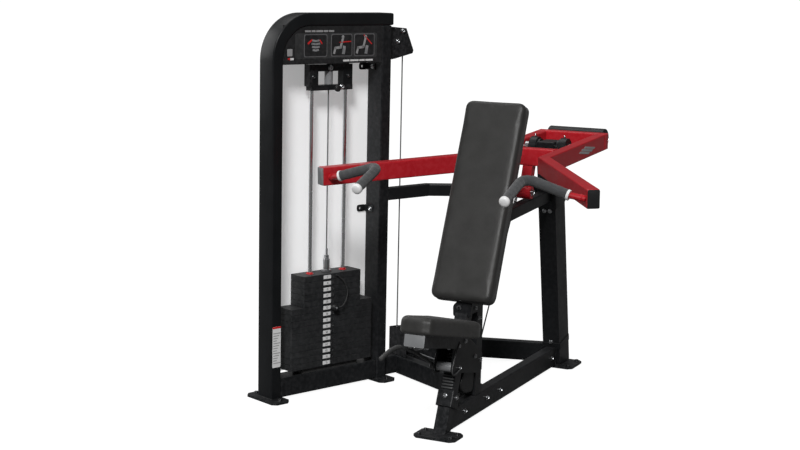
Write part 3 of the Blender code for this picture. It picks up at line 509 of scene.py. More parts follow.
def smoothCurve(points, steps):
    points = [Vector(p) for p in points]
    padded = [2 * points[0] - points[1], *points, 2 * points[-1] - points[-2]]
    found = []
    for a, b, c, d in zip(padded, padded[1:], padded[2:], padded[3:]):
        for k in range(steps):
            t = k / steps
            found.append(0.5 * (2 * b + (c - a) * t + (2 * a - 5 * b + 4 * c - d) * t * t
                                + (3 * b - a - 3 * c + d) * t ** 3))
    return found + [points[-1]]


def newPiece(name, shape, finishNames, body, axes=Matrix(), angle=33, replaces=()):
    shape.transform(axes)
    mesh = bpy.data.meshes.new(name)
    shape.to_mesh(mesh)
    shape.free()
    for finish in finishNames:
        mesh.materials.append(finishes[finish])
    mesh.polygons.foreach_set("use_smooth", [True] * len(mesh.polygons))
    mesh.set_sharp_from_angle(angle=math.radians(angle))
    made = bpy.data.objects.new(name, mesh)
    bpy.context.scene.collection.objects.link(made)
    if body:                                       # a piece given no body stays unattached
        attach(made, body)
    if replaces:
        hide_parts(*replaces)
    return made


# carried-over CAD pieces take their finishes here
nodeFinishes = {
    "blackPowder": ["tower_arch", "tower_rear_column", "tower_base_tube", "tower_foot_front",
                    "tower_foot_rear", "rod_top_block", "drop_pulley_bracket", "tower_pulley_guard",
                    "seat_pulley_bracket",
                    "spine_tube", "diagonal_base_tube", "rear_cross_tube", "tower_base_extension",
                    "front_foot_plate", "rear_foot_plate", "rear_column", "tower_link_tube", "backrest_board",
                    "backrest_support_tube", "seat_post", "seat_post_brace", "gas_spring_cylinder",
                    "seat_carriage", "counterweight"],
    "greyPowder": ["seat_lever"],
    "redPowder": ["press_arm_left", "press_arm_right", "arm_front_brace", "arm_rear_brace", "cable_lever",
                  "handle_tube_left", "handle_tube_right"],
    "moulded": ["instruction_placard"],
    "shroudSheet": ["shroud_panel"],
    "polishedChrome": ["guide_rod_front", "guide_rod_rear", "cable_fitting", "gas_spring_rod"],
    "zincSteel": ["selector_rod", "pivot_axle"],
    "blackRubber": ["stack_plinth"],
}
for finish, names in nodeFinishes.items():
    for name in names:
        nodes[name].material_slots[0].material = finishes[finish]
print("carried-over pieces:", sum(len(names) for names in nodeFinishes.values()))


# weight stack
stack = {"middle": 0.3235, "top": 0.5095, "pitch": 0.0265, "count": 15, "lifted": 6, "narrow": 5,
         "narrowHalf": 0.155, "wideHalf": 0.22, "thick": 0.0254, "back": -0.0935, "front": -0.0012,
         "corner": 0.005, "bevel": 0.0016, "rodSpacing": 0.179, "rodHole": 0.0112, "cableHole": 0.0122,
         "rodAcross": -0.047, "tagLow": 0.2735, "tagHigh": 0.313, "tagHalf": 0.0078,
         "digit": 0.0038, "step": 5}
digitBars = {"0": "abcdef", "1": "bc", "2": "abged", "3": "abgcd", "4": "fgbc", "5": "afgcd", "6": "afgedc",
             "7": "abc", "8": "abcdefg", "9": "abcdfg"}
barPlaces = {"a": (0.0, 1.0, 1), "b": (0.5, 0.5, 0), "c": (0.5, -0.5, 0), "d": (0.0, -1.0, 1),
             "e": (-0.5, -0.5, 0), "f": (-0.5, 0.5, 0), "g": (0.0, 0.0, 1)}        # across, up, lies flat


def addNumber(shape, number, x, y, size, low, high, axes, finish):
    for index, digit in enumerate(str(number)):
        left = x + (index - (len(str(number)) - 1) / 2) * size * 1.5
        for bar in digitBars[digit]:
            dx, dy, level = barPlaces[bar]
            w, h = (size * 0.42, size * 0.12) if level else (size * 0.12, size * 0.46)
            cx, cy = left + dx * size, y + dy * size
            addBox(shape, (cx - w, cy - h, low), (cx + w, cy + h, high), 0.0, axes, finish)


def plateMiddle(number):
    return stack["top"] - (number - 0.5) * stack["pitch"]


def makePlate(number):
    shape = bmesh.new()
    half = stack["narrowHalf"] if number <= stack["narrow"] else stack["wideHalf"]
    middle, at = stack["middle"], plateMiddle(number)
    outline = roundCorners(rectangle(stack["back"], middle - half, stack["front"], middle + half),
                           stack["corner"], 3)
    holes = [circleLoop(stack["rodAcross"], middle + side * stack["rodSpacing"] / 2, stack["rodHole"], 20)
             for side in (-1, 1)]
    holes.append(circleLoop(stack["rodAcross"], middle, stack["cableHole"], 20))
    addPlate(shape, outline, at - stack["thick"] / 2, at + stack["thick"] / 2, stack["bevel"], holes=holes)
    front, left, right = stack["front"], stack["tagLow"], stack["tagHigh"]
    tag = roundCorners(rectangle(left, at - stack["tagHalf"], right, at + stack["tagHalf"]), 0.0015, 2)
    addPlate(shape, tag, front - 0.0002, front + 0.0006, 0.0002, onSide, 1)
    addNumber(shape, number * stack["step"], (left + right) / 2, at, stack["digit"], front + 0.0005,
              front + 0.0009, onSide, 2)
    addTurned(shape, [(0.0, 0.0003), (0.0048, 0.0003), (0.0052, 0.0011), (0.0075, 0.0009), (0.008, 0.0)],
              along((stack["front"] - 0.0001, middle, at), (1, 0, 0)), 3, 20)
    lifted = number <= stack["lifted"]
    replaced = (f"weight_plate_{number:02d}",) if lifted else ()
    if number == stack["count"]:
        replaced = ("weight_plates_07_to_15",)
    newPiece(f"plate_{number:02d}", shape, ["stackPaint", "printWhite", "printDark", "darkSteel"],
             "stack_lifted" if lifted else "root", towerAxes, 30, replaced)


for number in range(1, stack["count"] + 1):
    makePlate(number)


def makeStackTop():
    shape = bmesh.new()
    for side in (-1, 1):
        addTurned(shape, [(0.0098, 0.0), (0.0165, 0.0), (0.0165, 0.0022), (0.013, 0.0036), (0.0122, 0.0075),
                          (0.0098, 0.008), (0.0098, 0.0)],
                  place(stack["rodAcross"], stack["middle"] + side * stack["rodSpacing"] / 2,
                        stack["top"] - 0.0004), 0, 28)
    newPiece("rod_bushes", shape, ["redPlastic"], "stack_lifted", towerAxes)
    shape = bmesh.new()
    for height, steps, profile in (                # jam nut, upper nut, ferrule
            (0.0006, 24, [(0.0128, 0.0), (0.019, 0.0, 1), (0.019, 0.008, 1), (0.0128, 0.0088),
                          (0.0128, 0.0)]),
            (0.061, 24, [(0.0064, 0.0), (0.0095, 0.0, 1), (0.0095, 0.01, 1), (0.0064, 0.0108),
                         (0.0064, 0.0)]),
            (0.012, 28, [(0.0124, 0.0), (0.0142, 0.001), (0.0142, 0.042), (0.0124, 0.043), (0.0124, 0.0)])):
        addTurned(shape, profile, place(stack["rodAcross"], stack["middle"], stack["top"] + height), 0, steps)
    newPiece("fitting_nuts", shape, ["zincSteel"], "stack_lifted", towerAxes)


makeStackTop()

pin = {"out": 0.0275, "length": 0.085, "ridges": 4, "ridgeStep": 0.003}
lanyard = {"radius": 0.0022, "anchor": (-0.0006, 0.3435, 0.4985),
           "points": [(0.007, 0.3435, 0.4985), (0.01, 0.3755, 0.47), (0.013, 0.3935, 0.425),
                      (0.016, 0.3815, 0.385), (0.019, 0.3595, 0.366), (0.02, 0.3407, 0.364)]}


def makeSelectorPin():
    shape = bmesh.new()
    axes = along((pin["out"], stack["middle"], plateMiddle(stack["lifted"])), (-1, 0, 0))
    ridges = [(0.0, -0.0005), (0.007, -0.0005), (0.0105, 0.0006), (0.013, 0.003)]
    for step in range(pin["ridges"]):
        ridges += [(0.0137, 0.0048 + step * pin["ridgeStep"]), (0.0126, 0.0062 + step * pin["ridgeStep"])]
    ridges += [(0.0135, 0.0172), (0.0105, 0.0225), (0.008, 0.0262), (0.0, 0.0262)]
    addTurned(shape, ridges, axes, 0, 32)
    addTurned(shape, [(0.0, 0.025), (0.0045, 0.025), (0.0045, 0.081), (0.0038, pin["length"]),
                      (0.0, pin["length"])], axes, 1, 20)
    addTurned(shape, [(0.0, -0.0012), (0.0042, -0.0012), (0.0048, -0.0004), (0.0, -0.0004)], axes, 2, 20)
    newPiece("pin_knob", shape, ["moulded", "zincSteel", "greyPlastic"], "selector_pin",
             towerAxes, replaces=("selector_pin",))

    path = [towerAxes @ point for point in smoothCurve(lanyard["points"], 6)]
    shape = bmesh.new()
    addTube(shape, path, lanyard["radius"], sides=10)
    cord = newPiece("pin_cord", shape, ["blackRubber"], None, replaces=("pin_lanyard",))
    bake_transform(cord)
    shape = bmesh.new()
    addTurned(shape, [(0.0, 0.0), (0.0052, 0.0), (0.0052, 0.0045), (0.0036, 0.0058), (0.0, 0.0062)],
              along(lanyard["anchor"], (1, 0, 0)), 0, 20)
    newPiece("cord_anchor", shape, ["moulded"], "stack_lifted", towerAxes)


makeSelectorPin()
print("weight stack:", stack["count"], "plates")


# cable and pulleys
pulleyRun = {"line": 0.048, "rim": 0.053, "root": 0.0436, "half": 0.009, "hub": 0.0172, "cable": 0.003,
             "spokes": 5, "spokeIn": 0.0115, "spokeOut": 0.0392, "spokeLift": 0.006, "spokeHalf": 0.002}
cableRoute = {"tower": [(-0.047, 0.3235, 0.61), (-0.047, 0.3235, 1.527), (-0.047, 0.733, 1.527),
                        (-0.047, 0.733, 0.128)],
              "base": (-0.077, 0.5214, 0.128), "boss": (-0.0345, -0.2906, -0.148), "pullFrom": 0.3}


def makePulley(name):
    joint = joints[name + "_spin"]
    shape = bmesh.new()
    r = pulleyRun
    side = [(0.0, r["hub"]), (0.0085, r["hub"]), (0.011, r["hub"] - 0.0015), (0.0125, 0.0062),
            (0.017, 0.0048), (0.0345, 0.0048), (0.0385, 0.008), (0.04, r["half"]),
            (r["rim"] - 0.0008, r["half"]),
            (r["rim"], r["half"] - 0.001), (r["rim"], 0.0068), (0.0485, 0.0046), (r["root"], 0.0026)]
    addTurned(shape, side + [(radius, -height) for radius, height in reversed(side)], Matrix(), 0, 40)
    spoke = roundCorners([(r["spokeIn"], -0.0016), (r["spokeOut"], -0.0026), (r["spokeOut"], 0.0026),
                          (r["spokeIn"], 0.0016)], 0.001, 2)
    for k in range(r["spokes"]):
        for middle in (-r["spokeLift"], r["spokeLift"]):
            addPlate(shape, spoke, middle - r["spokeHalf"], middle + r["spokeHalf"], 0.0004,
                     spin(360.0 / r["spokes"] * k, "Z"))
    newPiece(name.replace("pulley", "wheel"), shape, ["moulded"], name,
             along(joint["pos_m"], joint["axis"]), 30, (name,))


for name in ("pulley_over_stack", "pulley_over_drop", "pulley_tower_base", "pulley_seat_base"):
    makePulley(name)


def bendPath(before, corner, after, radius, steps):
    wayIn, wayOut = (corner - before).normalized(), (after - corner).normalized()
    turn = wayIn.angle(wayOut)
    axis = wayIn.cross(wayOut).normalized()
    start = corner - wayIn * radius * math.tan(turn / 2)
    middle = start + axis.cross(wayIn) * radius
    spoke = start - middle
    return [middle + spoke * math.cos(turn * k / steps) + axis.cross(spoke) * math.sin(turn * k / steps)
            for k in range(steps + 1)]


def makeCables():
    radius = pulleyRun["cable"]
    route = [towerAxes @ Vector(point) for point in cableRoute["tower"]]
    route += [machineAxes @ Vector(cableRoute["base"]), armAxes @ Vector(cableRoute["boss"])]
    bends = [bendPath(*route[k:k + 3], pulleyRun["line"], 16) for k in range(4)]
    shape = bmesh.new()
    addTube(shape, [point for part in bends for point in part], radius, sides=12)
    newPiece("cable_run", shape, ["cableJacket"], "root", angle=60, replaces=("lift_cable",))

    top, low = bends[0][0] + Vector((0, 0, -0.0002)), route[0]
    shape = bmesh.new()
    addTube(shape, [low + (top - low) * k / 24 for k in range(25)], radius, sides=12)
    rise = newPiece("cable_rise", shape, ["cableJacket"], None, angle=60,
                    replaces=("stack_cable",))
    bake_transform(rise)

    start, end = bends[3][-1], route[-1]
    shape = bmesh.new()
    addTube(shape, [start + (end - start) * k / 40 for k in range(41)], radius, sides=12)
    pull = newPiece("cable_pull", shape, ["cableJacket"], None, angle=60)
    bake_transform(pull)

    shape = bmesh.new()
    way = (start - end).normalized()
    addTurned(shape, [(0.0, -0.01), (0.0085, -0.01), (0.0105, -0.007), (0.0105, 0.01), (0.0062, 0.014),
                      (0.0062, 0.052), (0.0052, 0.056), (0.0032, 0.057), (0.0032, 0.06)],
              along(end, way), 0, 24)
    newPiece("cable_end", shape, ["zincSteel"], "press_arm")


makeCables()
print("cable and pulleys done")


# tower frame with its smooth bend
arch = {"radius": 0.19, "deep": 0.052, "wide": 0.094, "end": 0.637, "height": 1.6, "foot": 0.0103,
        "edge": 0.0065, "outSteps": 36, "inSteps": 30}


def arcLoop(x, y, radius, start, end, steps):
    angles = [math.radians(start + (end - start) * k / steps) for k in range(steps + 1)]
    return [(x + radius * math.cos(a), y + radius * math.sin(a)) for a in angles]


def makeArch():
    middle = (arch["radius"], arch["height"] - arch["radius"])
    outline = [(0.0, arch["foot"]), *arcLoop(*middle, arch["radius"], 180, 90, arch["outSteps"]),
               (arch["end"], arch["height"]), (arch["end"], arch["height"] - arch["deep"]),
               *arcLoop(*middle, arch["radius"] - arch["deep"], 90, 180, arch["inSteps"]),
               (arch["deep"], arch["foot"])]
    part = bmesh.new()
    face = part.faces.new([part.verts.new((x, y, -arch["wide"])) for x, y in outline])
    made = bmesh.ops.extrude_face_region(part, geom=[face])
    bmesh.ops.translate(part, verts=[item for item in made["geom"] if isinstance(item, bmesh.types.BMVert)],
                        vec=(0, 0, arch["wide"]))
    bmesh.ops.recalc_face_normals(part, faces=part.faces)
    sharp = [e for e in part.edges if e.calc_face_angle(0.0) > 0.9]
    bmesh.ops.bevel(part, geom=sharp, offset=arch["edge"], segments=4, affect="EDGES", profile=0.5,
                    clamp_overlap=False)
    shape = bmesh.new()
    addTo(shape, part, Matrix(), 0)
    newPiece("arch_tube", shape, ["blackPowder"], "root", towerAxes @ onSide, 50,
             ("tower_arch",))


makeArch()


# tower fittings: hung parts, shroud tabs and the arch's end cap
tower = {"middle": 0.3235, "across": -0.047, "bolt": 0.0052, "boltNear": -0.0245, "boltFar": -0.0695,
         "boltSpots": ((0.7138, 1.524), (0.685, 1.479), (0.3715, 1.479)), "blockFront": -0.029,
         "blockBolts": ((0.381, 1.2935), (0.318, 1.374)), "blockScrews": ((0.23, 1.338), (0.415, 1.338)),
         "knob": (-0.029, 0.348, 1.288), "sleeveFoot": 1.3035, "tabHeights": (1.372, 0.757), "tabHalf": 0.015,
         "tabFront": 0.529, "tabBack": 0.5765, "tabHole": 0.543, "tabThick": 0.004}


def makeTower():
    shape = bmesh.new()
    for s, z in tower["boltSpots"]:
        addBolt(shape, (tower["boltNear"], s, z), (1, 0, 0), tower["bolt"])
        addBolt(shape, (tower["boltFar"], s, z), (-1, 0, 0), tower["bolt"])
    for key, size, finish in (("blockBolts", 0.0058, 0), ("blockScrews", 0.004, 1)):
        for s, z in tower[key]:
            addBolt(shape, (tower["blockFront"], s, z), (1, 0, 0), size, finish=finish)
    newPiece("tower_bolts", shape, ["zincSteel", "darkSteel"], "root", towerAxes)

    shape = bmesh.new()
    addTurned(shape, [(0.0, 0.0), (0.007, 0.0), (0.0075, 0.004), (0.0125, 0.006), (0.014, 0.01),
                      (0.014, 0.017), (0.011, 0.0205), (0.0, 0.0215)], along(tower["knob"], (1, 0, 0)), 0, 28)
    newPiece("hanger_knob", shape, ["moulded"], "root", towerAxes)
    shape = bmesh.new()
    addTurned(shape, [(0.0036, 0.0), (0.0165, 0.0), (0.0175, 0.0015), (0.0175, 0.062), (0.016, 0.064),
                      (0.0036, 0.064), (0.0036, 0.0)],
              place(tower["across"], tower["middle"], tower["sleeveFoot"]), 0, 32)
    newPiece("cable_sleeve", shape, ["greyPlastic"], "root", towerAxes)

    shape = bmesh.new()
    half, thick, front = tower["tabHalf"], tower["tabThick"], tower["tabHole"]
    for z in tower["tabHeights"]:
        leg = roundCorners(rectangle(tower["tabFront"], z - half, tower["tabBack"], z + half), 0.012, 5)
        addPlate(shape, leg, -0.0968, -0.0968 + thick, 0.0008, onSide, 0, (circleLoop(front, z, 0.0062, 16),))
        foot = roundCorners(rectangle(-0.0968, z - half, -0.042, z + half), 0.006, 4)
        addPlate(shape, foot, 0.0, thick, 0.0008, place(0, tower["tabBack"], 0) @ onFront)
        addBolt(shape, (-0.058, tower["tabBack"] - thick, z), (0, -1, 0), 0.0048, finish=1)
        addTurned(shape, [(0.0062, 0.0), (0.0095, 0.0), (0.0105, 0.0012), (0.0095, 0.003), (0.0062, 0.0034),
                          (0.0062, 0.0)], along((-0.0928, front, z), (1, 0, 0)), 0, 24)
    newPiece("shroud_tabs", shape, ["blackPowder", "zincSteel"], "root", towerAxes)

    shape = bmesh.new()
    cap = roundCorners(rectangle(-0.0925, 1.5495, -0.0015, 1.5985), 0.006, 4)
    addPlate(shape, cap, -0.0021, 0.0, 0.0009, place(0, 0.6371, 0) @ onFront)
    newPiece("arch_cap", shape, ["moulded"], "root", towerAxes)


makeTower()


# placard and labels: plain shapes and dashes only
placard = {"face": -0.003, "tiles": [(0.157, 1.4212, 0.2785, 1.515), (0.298, 1.4212, 0.412, 1.515),
                                      (0.4215, 1.4212, 0.534, 1.515)],
           "upperDashes": ((0.162, 0.03), (0.196, 0.02), (0.22, 0.036), (0.26, 0.022), (0.286, 0.028)),
           "lowerDashes": ((0.364, 0.034), (0.402, 0.046), (0.452, 0.03), (0.486, 0.04)),
           "chevrons": (0.016, 0.02, 0.017, 0.013), "chevronTop": 1.489, "chevronStep": 0.013}
label = {"left": 0.006, "right": 0.048, "low": 0.145, "high": 0.318, "lines": 13, "lineTop": 0.288,
         "lineStep": 0.0105, "lineHigh": 0.0035}


def addStroke(shape, points, width, low, high, axes, finish):
    for a, b in zip(points, points[1:]):
        a, b = Vector(a), Vector(b)
        side = (b - a).normalized().orthogonal() * width / 2
        way = (b - a).normalized() * width * 0.35
        corners = [a - way + side, b + way + side, b + way - side, a - way - side]
        addPlate(shape, [tuple(c) for c in corners], low, high, 0.0, axes, finish)


def makePlacard():
    face = placard["face"]
    low, high = face + 0.001, face + 0.0014
    shape = bmesh.new()
    addPlate(shape, rectangle(0.052, 1.395, 0.58, 1.552), -0.008, -0.0062, 0.0, onSide, 0)
    back = roundCorners(rectangle(0.112, 1.415, 0.548, 1.5185), 0.012, 4)
    addPlate(shape, back, face - 0.0002, face + 0.0003, 0.0001, onSide, 3)
    for index, (x0, y0, x1, y1) in enumerate(placard["tiles"]):
        outer = roundCorners(rectangle(x0, y0, x1, y1), 0.01, 4)
        inner = roundCorners(rectangle(x0 + 0.004, y0 + 0.004, x1 - 0.004, y1 - 0.004), 0.008, 4)
        addPlate(shape, outer, face + 0.0002, face + 0.0008, 0.0002, onSide, 6)
        addPlate(shape, inner, face + 0.0007, face + 0.0011, 0.0, onSide, 0)
        midX = (x0 + x1) / 2
        if index == 0:
            strokes = []
            for k, width in enumerate(placard["chevrons"]):
                y = placard["chevronTop"] - k * placard["chevronStep"]
                strokes += [([(-width, y), (-0.002, y - 0.002)], 0.008, 4),
                            ([(0.002, y - 0.002), (width, y)], 0.008, 4)]
            strokes += [([(-0.04, 1.477), (-0.022, 1.49)], 0.008, 2),
                        ([(0.022, 1.49), (0.032, 1.476)], 0.005, 2)]
        else:
            strokes = [([(-0.04, 1.436), (-0.034, 1.457), (-0.006, 1.459), (0.006, 1.496)], 0.0105, 1),
                       ([(0.01, 1.436), (0.014, 1.46)], 0.015, 4),
                       ([(-0.01, 1.48), (0.048, 1.483)] if index == 1
                        else [(-0.002, 1.5085), (0.04, 1.472)], 0.0045, 2)]
            addPlate(shape, circleLoop(midX + 0.006, 1.5025, 0.0068, 14), low, high, 0.0, onSide, 1)
        for points, width, finish in strokes:
            addStroke(shape, [(midX + x, y) for x, y in points], width, low, high, onSide, finish)
    for key, bottom, top, finish in (("upperDashes", 1.5228, 1.5305, 1), ("lowerDashes", 1.4005, 1.408, 5)):
        for x, width in placard[key]:
            addPlate(shape, rectangle(x, bottom, x + width, top), face - 0.0001, face + 0.0004, 0.0, onSide,
                     finish)
    badge = roundCorners(rectangle(0.072, 1.427, 0.098, 1.456), 0.003, 2)
    addPlate(shape, badge, face - 0.0001, face + 0.0005, 0.0001, onSide, 1)
    for corners, finish in (((0.076, 1.412, 0.086, 1.42), 2), ((0.088, 1.411, 0.105, 1.42), 5)):
        addPlate(shape, rectangle(*corners), face - 0.0001, face + 0.0005, 0.0, onSide, finish)
    inks = ["moulded", "printGrey", "printRed", "printDark", "greyPlastic", "printWhite", "printMid"]
    newPiece("placard_print", shape, inks, "root", towerAxes)


def makeColumnLabel():
    shape = bmesh.new()
    left, right, top = label["left"], label["right"], label["high"]
    sheet = roundCorners(rectangle(left, label["low"], right, top), 0.003, 3)
    addPlate(shape, sheet, -0.0001, 0.0005, 0.0001, onSide, 0)
    addPlate(shape, rectangle(left + 0.0002, top - 0.0085, right - 0.0002, top - 0.0002), 0.0004, 0.0008, 0.0,
             onSide, 1)
    for k in range(label["lines"]):
        reach = 0.04 - 0.006 * ((k * 5) % 4)
        bottom = label["lineTop"] - k * label["lineStep"]
        addPlate(shape, rectangle(0.0095, bottom, 0.0055 + reach, bottom + label["lineHigh"]), 0.0004, 0.0007,
                 0.0, onSide, 2)
    newPiece("column_label", shape, ["printWhite", "printRed", "printGrey"], "root", towerAxes)


makePlacard()
makeColumnLabel()
print("tower fittings and placard done")


# seat frame and rear column
column = {"front": 1.28, "slope": 0.187, "thick": 0.125, "top": 1.052, "half": 0.04,
          "collars": ((0.762, 0.862, 0.0035), (0.088, 0.118, 0.003)),       # low, high, stands out by
          "frontBolts": ((-0.012, 0.7391), (0.014, 0.7391), (0.0, 0.118)),
          "linkBolts": ((1.145, 0.848), (1.19, 0.84))}
base = {"spineBolts": (0.5902, 0.4495, 0.22, 1.205), "spineHeight": 0.056, "spineHalf": 0.0236,
        "plateTop": 0.0101, "anchor": 0.0052}


def columnFront(z):
    return column["front"] - column["slope"] * z


def makeRearColumn():
    lean = machineAxes @ place(0, column["front"], 0) @ spin(math.degrees(math.atan(column["slope"])), "X")
    shape = bmesh.new()
    half, deep = column["half"], column["thick"] * math.cos(math.atan(column["slope"]))
    for low, high, grow in column["collars"]:
        outer = roundCorners(rectangle(-half - grow, -grow, half + grow, deep + grow), 0.008, 4)
        inner = roundCorners(rectangle(-half - 0.0003, -0.0003, half + 0.0003, deep + 0.0003), 0.005, 4)
        addPlate(shape, outer, low, high, 0.0015, Matrix(), 0, (inner,))
    cap = roundCorners(rectangle(-half + 0.001, 0.001, half - 0.001, deep - 0.001), 0.006, 4)
    top = column["top"] / math.cos(math.atan(column["slope"]))
    addPlate(shape, cap, top - 0.025, top - 0.023, 0.001, Matrix(), 1)
    newPiece("column_collars", shape, ["blackPowder", "moulded"], "root", lean)

    shape = bmesh.new()
    for x, z in column["frontBolts"]:
        addBolt(shape, (x, columnFront(z) - 0.0004, z), (0, -1, -column["slope"]), 0.0048)
    for side in (-1, 1):
        for y in base["spineBolts"]:
            addBolt(shape, (side * base["spineHalf"], y, base["spineHeight"]), (side, 0, 0), 0.005)
        for y, z in column["linkBolts"]:
            addBolt(shape, (side * (column["half"] + 0.0038), y, z), (side, 0, 0), 0.0044)
    newPiece("frame_bolts", shape, ["zincSteel"], "root", machineAxes)


def makeFootHardware():
    shape = bmesh.new()
    spots = [(towerAxes, x, y) for x in (-0.13, 0.036) for y in (0.02, 0.605)]
    spots += [(machineAxes, x, y) for x in (-0.068, 0.068) for y in (-0.012, 0.05)]
    spots += [(machineAxes, x, y) for x in (-0.08, 0.08) for y in (1.275, 1.392)]
    for axes, x, y in spots:
        addBolt(shape, (x, y, base["plateTop"]), (0, 0, 1), base["anchor"], axes)
    newPiece("anchor_bolts", shape, ["darkSteel"], "root")


def addBead(shape, path, radius, axes, finish=0):
    points = []
    for a, b in zip(path, path[1:]):
        a, b = Vector(a), Vector(b)
        count = max(2, int((b - a).length / 0.0016))
        points += [a.lerp(b, k / count) for k in range(count)]
    points.append(Vector(path[-1]))
    radii = [radius * (0.86 + 0.2 * math.sin(k * 1.9)) for k in range(len(points))]
    addTube(shape, points, radius, axes, finish, 6, radii=radii)


def makeWelds():
    shape = bmesh.new()
    low, high, level = -0.0925, -0.0015, 0.0112
    for front, back in ((0.001, 0.05), (0.578, 0.628)):       # round the tower's two columns
        corners = ((low, front), (high, front), (high, back), (low, back), (low, front))
        addBead(shape, [(*corner, level) for corner in corners], 0.0024, towerAxes)
    footLine = columnFront(0) - 0.001
    addBead(shape, [(side * column["half"], footLine, level) for side in (-1, 1)], 0.0026, machineAxes)
    for side in (-1, 1):
        addBead(shape, [(side * 0.0245, columnFront(0.095) - 0.002, 0.012),
                        (side * 0.0245, columnFront(0.093) - 0.002, 0.093)], 0.0022, machineAxes)
        addBead(shape, [(side * 0.0232, 0.3175, 0.0962), (side * 0.0232, 0.3725, 0.0962)], 0.002, machineAxes)
        front, back = Vector((side * 0.0225, 0.2905, 0.744)), Vector((side * 0.0225, 0.2905, 0.793))
        addBead(shape, [front + Vector((0, 0.083, 0)), back + Vector((0, 0.083 + 0.021, 0))], 0.0018,
                machineAxes)
    newPiece("weld_beads", shape, ["blackPowder"], "root")


makeRearColumn()
makeFootHardware()
makeWelds()


# pivot and press arm
def makePivot():
    barrel = armAxes @ along((-0.0855, 0.0, 0.0), (1, 0, 0))
    shape = bmesh.new()
    addTurned(shape, [(0.0155, 0.0), (0.0475, 0.0), (0.049, 0.0015), (0.049, 0.033), (0.0475, 0.0345),
                      (0.0412, 0.0345), (0.0412, 0.045), (0.0155, 0.045), (0.0155, 0.0)], barrel, 0, 40)
    addTurned(shape, [(0.0155, 0.126), (0.0412, 0.126), (0.0412, 0.1365), (0.0475, 0.1365),
                      (0.049, 0.138), (0.049, 0.1695), (0.0475, 0.171), (0.0155, 0.171),
                      (0.0155, 0.126)], barrel, 0, 40)
    newPiece("pivot_housing", shape, ["blackPowder"], "root")
    shape = bmesh.new()
    for side in (-1, 1):
        addTurned(shape, [(0.0152, 0.0), (0.025, 0.0), (0.026, 0.001), (0.026, 0.024), (0.025, 0.025),
                          (0.0152, 0.025), (0.0152, 0.0)],
                  armAxes @ along((side * 0.0865, 0, 0), (side, 0, 0)), 0, 28)
        addTurned(shape, [(0.0, 0.0), (0.0045, 0.0, 1), (0.0045, 0.005, 1), (0.003, 0.006), (0.003, 0.0085),
                          (0.0042, 0.0105), (0.0032, 0.0125), (0.0, 0.013)],
                  armAxes @ along((side * 0.068, 0.0, 0.0486), (0, 0, 1)), 0, 18)
    newPiece("pivot_collars", shape, ["zincSteel"], "root")


arm = {"half": 0.0361, "width": 0.0484, "line": 0.141, "spread": 34.5, "end": (0.567, 0.0875),
       "frontBrace": 0.88, "rearBrace": 1.417, "boss": (-0.2906, -0.148), "weightReach": 0.1352,
       "badge": ((-0.08, 0.06, -0.014, -0.004), (-0.055, 0.1, -0.002, 0.008),
                 (-0.02, 0.13, 0.01, 0.019)), "badgeLean": -9}


